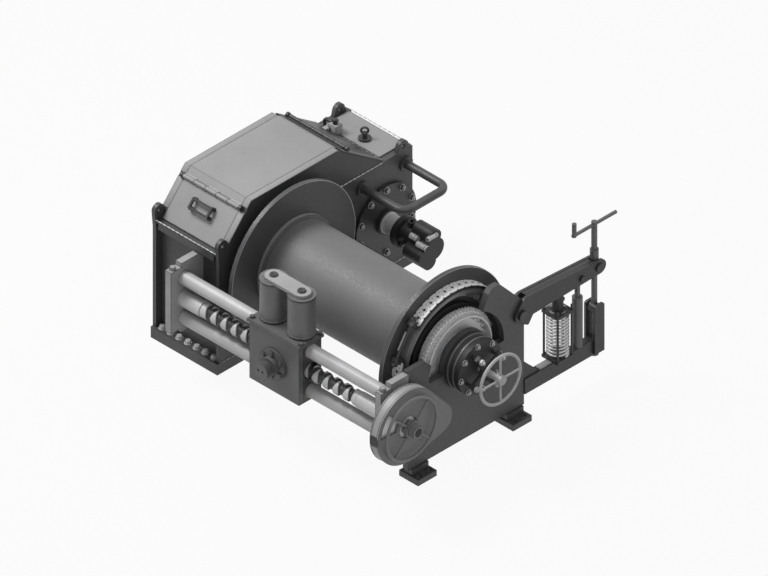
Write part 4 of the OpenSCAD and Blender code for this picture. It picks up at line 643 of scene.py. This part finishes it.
brakeChain = {
    "x": 1001, "y": 0, "z": 453, "radius": 305.6, "spans": ((-24, 131), (163, 204)), "pitch": 7.867,
    "plate": {"Length": 0.0415, "Width": 0.054, "Thickness": 0.003, "Notch": 0.0048, "Hole": 0.0027},
    "rivets": (0.024, 0.019), "drill": 0.02,
}


def linkTree():
    tree, value = startTree("brakeChain", brakeChain["plate"])
    size = geoNode(tree, "ShaderNodeCombineXYZ", {"X": value["Width"], "Y": value["Length"],
                                                  "Z": value["Thickness"]})
    plate = geoNode(tree, "GeometryNodeMeshCube", {"Size": size.outputs[0]})
    cutters = geoNode(tree, "GeometryNodeJoinGeometry")
    for spread, radius in (((value["Width"], value["Length"]), value["Notch"]),
                           (brakeChain["rivets"], value["Hole"])):
        grid = geoNode(tree, "GeometryNodeMeshGrid", {"Size X": spread[0], "Size Y": spread[1],
                                                      "Vertices X": 2, "Vertices Y": 2})
        drill = geoNode(tree, "GeometryNodeMeshCylinder", {"Vertices": 14, "Radius": radius,
                                                           "Depth": brakeChain["drill"]})
        put = geoNode(tree, "GeometryNodeInstanceOnPoints", {"Points": grid.outputs["Mesh"],
                                                             "Instance": drill.outputs["Mesh"]})
        flat = geoNode(tree, "GeometryNodeRealizeInstances", {"Geometry": put.outputs[0]})
        tree.links.new(flat.outputs[0], cutters.inputs[0])
    cut = geoNode(tree, "GeometryNodeMeshBoolean", {"Mesh 1": plate.outputs["Mesh"],
                                                    "Mesh 2": cutters.outputs[0]},
                  operation="DIFFERENCE", solver="EXACT")
    return setOnPoints(tree, value, cut.outputs[0])


def makeBrakeChain():
    c = brakeChain
    spots = []
    for low, high in c["spans"]:
        count = round((high - low) / c["pitch"])
        for i in range(count):
            a = math.radians(low + (i + 0.5) * (high - low) / count)
            out = (0, math.cos(a), math.sin(a))
            spots.append((c["x"], c["y"] + c["radius"] * out[1], c["z"] + c["radius"] * out[2], out))
    mesh = runTree("brakeChain", spots, linkTree(), {"Finish": finishes["bandSteel"]})
    newPiece("brakeChain", mesh, "frame", None, angle=30)


makeBrakeChain()
print("brake band plates laid")


# Plain turned and bent pieces. Each profile is (along, radius), each box is (low corner, high corner)

def turnedPiece(name, profile, place, axis, body, finish, sides=48):
    bm = bmesh.new()
    along = Vector(axis).normalized()
    side = along.orthogonal().normalized()
    over = along.cross(side)
    rings = []
    for step, radius in profile:
        rings.append([bm.verts.new(at(*place) + mm * (along * step + radius * (
            math.cos(a) * side + math.sin(a) * over)))
            for a in (2 * math.pi * k / sides for k in range(sides))])
    looped = profile[0] == profile[-1]      # a ring: its profile comes back to where it began
    skinRings(bm, rings, "open" if looped else "capped")
    if looped:
        bmesh.ops.remove_doubles(bm, verts=bm.verts, dist=1e-6)
    return newPiece(name, closedMesh(bm, name), body, finish)


def ringProfile(low, high, inner, outer):
    return [(low, inner), (low, outer), (high, outer), (high, inner), (low, inner)]


def plateMesh(name, outline, low, high, axis, soft):
    # A flat outline given in the other two axes, drawn out along X or Z, with softened edges
    bm = bmesh.new()

    def spot(a, b, c):
        return at(c, a, b) if axis == "x" else at(a, b, c)

    near = [bm.verts.new(spot(a, b, low)) for a, b in outline]
    far = [bm.verts.new(spot(a, b, high)) for a, b in outline]
    bm.faces.new(near)
    bm.faces.new(list(reversed(far)))
    for k in range(len(outline)):
        n = (k + 1) % len(outline)
        bm.faces.new((near[k], near[n], far[n], far[k]))
    bmesh.ops.recalc_face_normals(bm, faces=bm.faces)
    bmesh.ops.bevel(bm, geom=bm.edges[:], offset=soft * mm, segments=2, profile=0.5, affect="EDGES")
    return meshOf(bm, name)


def plateSet(name, plates, body, finish, soft=1.2):
    # Several plates as one piece
    bm = bmesh.new()
    for outline, low, high, axis in plates:
        mesh = plateMesh(name, outline, low, high, axis, soft)
        bm.from_mesh(mesh)
        bpy.data.meshes.remove(mesh)
    return newPiece(name, meshOf(bm, name), body, finish, angle=30)


def boxOutline(low, high):
    return [(low[0], low[1]), (high[0], low[1]), (high[0], high[1]), (low[0], high[1])]


# Rod between the two lengths of the band
bandRod = {"x": 995, "radius": 321.3, "z": 453, "from": 134, "to": 160, "size": 8.8, "inset": 28.5}


def makeBandRod():
    r = bandRod
    low, high = [at(r["x"], r["radius"] * math.cos(math.radians(a)),
                    r["z"] + r["radius"] * math.sin(math.radians(a))) for a in (r["from"], r["to"])]
    inset = (high - low).normalized() * r["inset"] * mm
    rod = tubeMesh("bandRodSleeve", [low + inset, high - inset], r["size"] * mm, 24)
    newPiece("bandRodSleeve", rod, "frame", "rodSteel")


makeBandRod()

# Lever: a top plate between its cheeks; arm: a light strip along its top, up to the spring
leverTop = {"outline": [(353, 607), (745, 583), (745, 575), (353, 598)], "x": (1077.5, 1106.5)}
armStrip = {"outline": [(432, 186), (504, 186), (504, 189.5), (432, 189.5)], "x": (1074, 1110)}
plateSet("leverTopPlate", [(leverTop["outline"], *leverTop["x"], "x")], "lever", "leverPaint")
plateSet("armTopStrip", [(armStrip["outline"], *armStrip["x"], "x")], "frame", "plateSteel")
print("lever plate and arm strip made")


# Rear hinge of the top cover: five knuckles on a rod with a knob at each end, and its leaf on the slope
rearHinge = {"y": 426, "z": 753, "from": -360, "to": -33, "knuckles": 5, "gap": 1, "knuckle": 9, "rod": 4.5,
             "knob": 12, "knobGap": 3, "knobLength": 15, "knobEdge": 2,
             "slope": 35, "leaf": 22, "leafBelow": (8, 5.5), "leafInset": 3}


def makeRearHinge():
    h = rearHinge
    end = h["to"] - h["from"]
    piece = end / h["knuckles"]
    near, far = h["knobGap"], h["knobGap"] + h["knobLength"]
    edge = h["knobEdge"]
    knob = [(near, h["rod"]), (near, h["knob"] - edge), (near + edge, h["knob"]), (far - edge, h["knob"]),
            (far, h["knob"] - edge)]
    profile = [(-step, radius) for step, radius in reversed(knob)]
    for i in range(h["knuckles"]):
        a, b = i * piece + h["gap"], (i + 1) * piece - h["gap"]
        profile += [(a, h["rod"]), (a, h["knuckle"]), (b, h["knuckle"]), (b, h["rod"])]
    profile += [(end + step, radius) for step, radius in knob]
    turnedPiece("rearHinge", profile, (h["from"], h["y"], h["z"]), (1, 0, 0), "frame", "blackPaint",
                32)
    slope = math.radians(h["slope"])

    def leafSpot(run, below):
        return (h["y"] + run * math.cos(slope) - below * math.sin(slope),
                h["z"] - run * math.sin(slope) - below * math.cos(slope))

    deep, shallow = h["leafBelow"]
    leaf = [leafSpot(-h["leaf"], deep), leafSpot(h["leaf"], deep), leafSpot(h["leaf"], shallow),
            leafSpot(-h["leaf"], shallow)]
    plateSet("rearHingeLeaf", [(leaf, h["from"] + h["leafInset"], h["to"] - h["leafInset"], "x")],
             "frame", "darkPaint", 0.6)


makeRearHinge()

# Fittings on the cross member behind the rear slope
topFittings = {
    "blocks": (((-309, 600, 606), (-264, 641, 652)), ((-322, 575, 616), (-296, 612, 638))),
    "plug": (-286, 620, 652),
    "plugProfile": [(0, 12), (4, 12), (4, 9), (12, 9), (12, 14), (22, 14), (25, 11)],
    "pipe": [(-350, 622, 606), (-350, 622, 640), (-340, 622, 650), (-318, 622, 650), (-306, 622, 650)],
    "pipeRadius": 8,
}


def makeTopFittings():
    f = topFittings
    plates = [(boxOutline(low[1:], high[1:]), low[0], high[0], "x") for low, high in f["blocks"]]
    plateSet("fittingBlocks", plates, "frame", "plateSteel")
    turnedPiece("fittingPlug", f["plugProfile"], f["plug"], (0, 0, 1), "frame", "blackPaint", 6)
    pipe = tubeMesh("fittingPipe", [at(*p) for p in f["pipe"]], f["pipeRadius"] * mm, 16)
    newPiece("fittingPipe", pipe, "frame", "blackPaint")


makeTopFittings()
print("rear hinge and fittings made")


# Motor: the light neck with its wide channel, and the plugs on the body. Places are from its axis

motorTrim = {
    "axis": (621.36, 303.95), "neckFrom": 26.5,
    "neck": [(0, 45.2), (0, 50), (7, 50), (9, 46.2), (67.5, 46.2), (69.5, 48), (76.5, 48), (76.5, 45.2),
             (0, 45.2)],
    "plugs": [
        {"name": "motorPlug1", "place": (200.5, -44.1, 44.1), "axis": (1, 0, 0), "run": 45,
         "radius": 13.6, "groove": 14, "depth": 2, "chamfer": 3},
        {"name": "motorPlug2", "place": (249.5, -54, 31.2), "axis": (1, 0, 0), "run": 64,
         "radius": 13.6, "groove": 14, "depth": 2, "chamfer": 3},
        {"name": "motorCrossPlug", "place": (302, -50, 72.75), "axis": (0, 1, 0), "run": 60,
         "radius": 10.6, "groove": 12, "depth": 1.5, "chamfer": 2}],
    "foot": 2, "grooveWidth": 2,
}


def makeMotorTrim():
    m = motorTrim
    y, z = m["axis"]
    turnedPiece("motorNeckSleeve", m["neck"], (m["neckFrom"], y, z), (1, 0, 0), "frame", "motorMetal",
                64)
    for p in m["plugs"]:
        r, run = p["radius"], p["run"]
        near, far = run - p["groove"], run - p["groove"] + m["grooveWidth"]
        profile = [(0, r - m["foot"]), (m["foot"], r), (near, r), (near, r - p["depth"]),
                   (far, r - p["depth"]), (far, r), (run - p["chamfer"], r), (run, r - p["chamfer"])]
        x, dy, dz = p["place"]
        turnedPiece(p["name"], profile, (x, y + dy, z + dz), p["axis"], "frame", "motorMetal",
                    32)


makeMotorTrim()
print("motor neck and plugs made")


# Barrel collar, and painted highlights on the flanges' corners: thin rings of pale steel

drumTrim = {
    "y": 0, "z": 453, "sides": 160, "collar": (88.6, 107.4), "collarRadii": (215.1, 215.9),
    "corners": (70, 88, 954, 972), "cornerReach": (-0.4, 1.6), "cornerRadii": (362, 364.85),
}


def makeDrumTrim():
    d = drumTrim
    low, high = d["collar"]
    turnedPiece("barrelCollar", ringProfile(0, high - low, *d["collarRadii"]), (low, d["y"], d["z"]),
                (1, 0, 0), "drum", "greyPaint", d["sides"])
    for i, x in enumerate(d["corners"]):
        s = -1 if i % 2 else 1       # each corner reaches in over its own flange
        low, high = [s * reach for reach in d["cornerReach"]]
        # the pale ring on the flange's corner is a painted highlight
        turnedPiece("flangeHighlight%d" % (i + 1), ringProfile(low, high, *d["cornerRadii"]),
                    (x, d["y"], d["z"]), (1, 0, 0), "drum", "paleSteelAndHighlights", d["sides"])


makeDrumTrim()
print("drum collar and flange corners made")


# Painted highlights: short pale beads in rows along the plates' seams and rim edges

rimHighlights = {
    "rows": [((-385, -350, 602), (-8, -350, 602), 15), ((2, 355, 601), (2, 612, 601), 10),
             ((-380, 622, 601), (-10, 622, 601), 14), ((-380, 790, 601), (-8, 790, 601), 13),
             ((1.5, -340, 56), (1.5, 780, 56), 40)],
    "bead": {"Length": 0.0135, "Radius": 0.0026},
}


def rimHighlightTree():
    tree, value = startTree("rimHighlightBeads", rimHighlights["bead"])
    ball = geoNode(tree, "GeometryNodeMeshUVSphere", {"Segments": 8, "Rings": 6, "Radius": 1.0})
    size = geoNode(tree, "ShaderNodeCombineXYZ", {"X": value["Radius"], "Y": value["Radius"],
                                                  "Z": value["Length"]})
    return setOnPoints(tree, value, ball.outputs["Mesh"], Scale=size.outputs[0])


def makeRimHighlights():
    spots = []
    for low, high, count in rimHighlights["rows"]:
        low, step = Vector(low), Vector(high) - Vector(low)
        for i in range(count):
            spots.append((*(low + step * (i + 0.5) / count), tuple(step.normalized())))
    mesh = runTree("rimHighlightBeads", spots, rimHighlightTree(), {"Finish": finishes["paleSteelAndHighlights"]})
    newPiece("rimHighlightBeads", mesh, "frame", None, angle=60)


# pale beads that stand in for the highlights along the rim edges
makeRimHighlights()
print("stitch welds laid")


# Ring on the hub: gear teeth for the level wind's drive, then a finely ribbed clutch ring

ringGear = {
    "y": 0, "z": 453, "bore": 69, "clutchBore": 178, "teeth": 68, "tip": 208.8, "root": 197.4,
    "rim": 192.8, "ribOut": 189, "ribIn": 186.2, "edge": 1.5,
    "from": 1010, "gearFrom": 1027, "gearTo": 1048, "to": 1072,
}


def makeRingGear():
    g = ringGear

    def tooth(x, k):
        # Eight points for a tooth: three on its top, five in the gap beside it
        return g["tip"] if k % 8 in (1, 2, 3) else g["root"]

    def rib(x, k):
        # Two ribs for a tooth
        return g["ribOut"] if k % 4 in (1, 2) else g["ribIn"]

    levels = [(g["from"], g["bore"]), (g["from"], g["rim"]), (g["gearFrom"], g["rim"]),
              (g["gearFrom"], tooth), (g["gearTo"], tooth), (g["gearTo"], rib), (g["to"] - g["edge"], rib),
              (g["to"], g["ribIn"] - g["edge"]), (g["to"], g["clutchBore"]),
              (g["gearFrom"], g["clutchBore"]), (g["gearFrom"], g["bore"])]
    mesh = latheMesh("ringGearRibbed", levels, g["y"], g["z"], g["teeth"] * 8, "joined")
    return newPiece("ringGearRibbed", mesh, "drum", "gearSteel", angle=25)


# Inner dogs of the ring, which the clutch sleeve enters
clutchDogs = {"count": 24, "x": (1027, 1043), "root": 163, "tip": 164.5, "out": 179.5, "wide": 0.2,
              "narrow": 0.18}


def makeClutchDogs():
    d = clutchDogs
    step = 2 * math.pi / d["count"]
    plates = []
    for i in range(d["count"]):
        mid = (i + 0.5) * step
        outline = []
        for radius, side, share in ((d["tip"], -1, d["narrow"]), (d["out"], -1, d["wide"]),
                                    (d["out"], 1, d["wide"]), (d["tip"], 1, d["narrow"])):
            across = side * d["root"] * math.sin(step * share)
            outline.append((radius * math.cos(mid) - across * math.sin(mid),
                            ringGear["z"] + radius * math.sin(mid) + across * math.cos(mid)))
        plates.append((outline, *d["x"], "x"))
    return plateSet("clutchDogs", plates, "drum", "gearSteel")


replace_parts(makeRingGear(), "ring_gear")
makeClutchDogs()
print("ring gear and its dogs made")


# Rim of the gear casing: a strip round both circles of its outline, with a shallow channel

casingTrim = {
    "wheel": (-434, 373, 177), "idler": (-245.1, 313.6, 72), "front": -611, "from": 1147.4, "sides": 128,
    "profile": [(0, -0.2), (0, 1), (5, 1), (6, 0.1), (41.2, 0.1), (42.2, 1), (49.2, 1), (49.2, -0.2)],
}


def casingSpot(angle, grow):
    # The outline's point in this direction, no further out than the casing's own front
    c = casingTrim
    y, z, radius = max((c["wheel"], c["idler"]),
                       key=lambda o: o[0] * math.cos(angle) + o[1] * math.sin(angle) + o[2])
    return (max(c["front"], y + (radius + grow) * math.cos(angle)), z + (radius + grow) * math.sin(angle))


def makeCasingRim():
    c = casingTrim
    bm = bmesh.new()
    rings = []
    for step, grow in c["profile"]:
        rings.append([bm.verts.new(at(c["from"] + step, *casingSpot(2 * math.pi * k / c["sides"], grow)))
                      for k in range(c["sides"])])
    skinRings(bm, rings, "joined")
    newPiece("casingRim", closedMesh(bm, "casingRim"), "frame", "plateSteel", angle=30)


makeCasingRim()

# Dark heads of the roller pins, and the dark end discs of the rollers
rollerTrim = {
    "x": (395.5, 560.5), "y": -424, "bodies": ("left_roller", "right_roller"),
    "headZ": 747.7, "head": [(0, 17.6), (1.6, 17.6), (2.2, 17), (2.2, 8), (1.4, 7)],
    "discZ": (531.6, 731.2), "disc": [(0, 52), (0, 62.4), (7, 62.4), (9, 59.8), (9, 52), (0, 52)],
}


def makeRollerTrim():
    r = rollerTrim
    for i, (x, body) in enumerate(zip(r["x"], r["bodies"])):
        turnedPiece("pinHead%d" % (i + 1), r["head"], (x, r["y"], r["headZ"]), (0, 0, 1), "carriage",
                    "bandDark")
        for j, z in enumerate(r["discZ"]):
            s = -1 if j else 1       # the lower disc stands up from its place, the upper hangs down
            turnedPiece("rollerDisc%d%d" % (i + 1, j + 1), [(step * s, radius) for step, radius in r["disc"]],
                        (x, r["y"], z), (0, 0, 1), body, "blackPaint", 64)


makeRollerTrim()
print("casing rim and roller trim made")


# Clutch: nuts on the yoke's pull rods, and two rings round the clutch housing

clutchTrim = {
    "rods": {"x": 1239, "y": 0, "z": 453, "radius": 88, "count": 4, "first": 30},
    "nuts": (13.5, 10, 13.5, 2, 7, 7),
    "rings": [(1119, 128.4, 131.5), (1150, 128.4, 130.6)], "width": 9.8, "chamfer": 0.8,
}


def makeClutchTrim():
    c = clutchTrim
    setFasteners("pullRodNuts", "clutch_yoke", "paleSteelAndHighlights", ringSpots(c["rods"]),
                 c["nuts"])
    edge, width = c["chamfer"], c["width"]
    for i, (x, low, high) in enumerate(c["rings"]):
        profile = [(0, low), (edge, high), (width - edge, high), (width, low), (0, low)]
        turnedPiece("housingRing%d" % (i + 1), profile, (x, c["rods"]["y"], c["rods"]["z"]), (1, 0, 0),
                    "frame", "hubSteel", 128)


makeClutchTrim()
print("clutch trim made")


# Turned edges of the covers, out over the side plates' rims, and the dark sheet of the rear slope

coverEdges = {
    "crestFront": (-159, 787), "crestRear": (353, 787), "backFoot": (620, 600), "slope": 49.12,
    "rise": 5, "lift": 0.3, "seat": 0.2, "sides": ((-392, -359.6), (-33.4, -1)),
    "hatch": (56.5, 198), "top": 35.5, "rear": (22, 262), "sheet": 1.7,
}


def makeCoverEdges():
    c = coverEdges
    cy, cz = c["crestFront"]
    a = math.radians(c["slope"])

    def onSlope(s, rise):
        return (cy - s * math.cos(a) - rise * math.sin(a), cz - s * math.sin(a) + rise * math.cos(a))

    def onBack(run, rise):
        ry, rz = c["crestRear"]
        return (ry + run, rz - run * (rz - c["backFoot"][1]) / (c["backFoot"][0] - ry) + rise)

    low, high = c["hatch"]
    flap = [onSlope(low, c["rise"]), onSlope(low, c["lift"]), onSlope(high, c["lift"]),
            onSlope(high, c["rise"])]
    top = [onSlope(c["top"], c["rise"]), (cy, cz + c["rise"]), (c["crestRear"][0], cz + c["rise"]),
           (c["crestRear"][0], cz + c["lift"]), (cy, cz + c["lift"]), onSlope(c["top"], c["lift"])]
    plateSet("hatchEdges", [(flap, *x, "x") for x in c["sides"]], "hatch", "greyPaint", 0.5)
    plateSet("coverEdges", [(top, *x, "x") for x in c["sides"]], "frame", "greyPaint", 0.5)
    near, far = c["rear"]
    over = c["rise"] + c["sheet"]

    def sheetOver(under):
        return [onBack(near, over), onBack(far, over), onBack(far, under), onBack(near, under)]

    sheets = [(sheetOver(c["rise"] + c["seat"]), c["sides"][0][1], c["sides"][1][0], "x")]
    sheets += [(sheetOver(c["lift"]), *x, "x") for x in c["sides"]]
    plateSet("rearSlopeSheet", sheets, "frame", "darkPaint", 0.4)


makeCoverEdges()

# Light square of the spring's cap, clear of its four guides
springSquare = {"x": 1092, "y": 553, "z": (428.2, 429.8), "long": 29, "near": 24.5, "far": 46.5}


def makeSpringSquare():
    q = springSquare
    plates = []
    for s in (-1, 1):
        a, b = sorted((s * q["near"], s * q["far"]))
        along = boxOutline((q["x"] - q["long"], q["y"] + a), (q["x"] + q["long"], q["y"] + b))
        across = boxOutline((q["x"] + a, q["y"] - q["near"]), (q["x"] + b, q["y"] + q["near"]))
        plates += [(along, *q["z"], "z"), (across, *q["z"], "z")]
    plateSet("springSquare", plates, "spring_cap", "plateSteel", 0.4)


makeSpringSquare()
print("cover edges, rear sheet and spring square made")
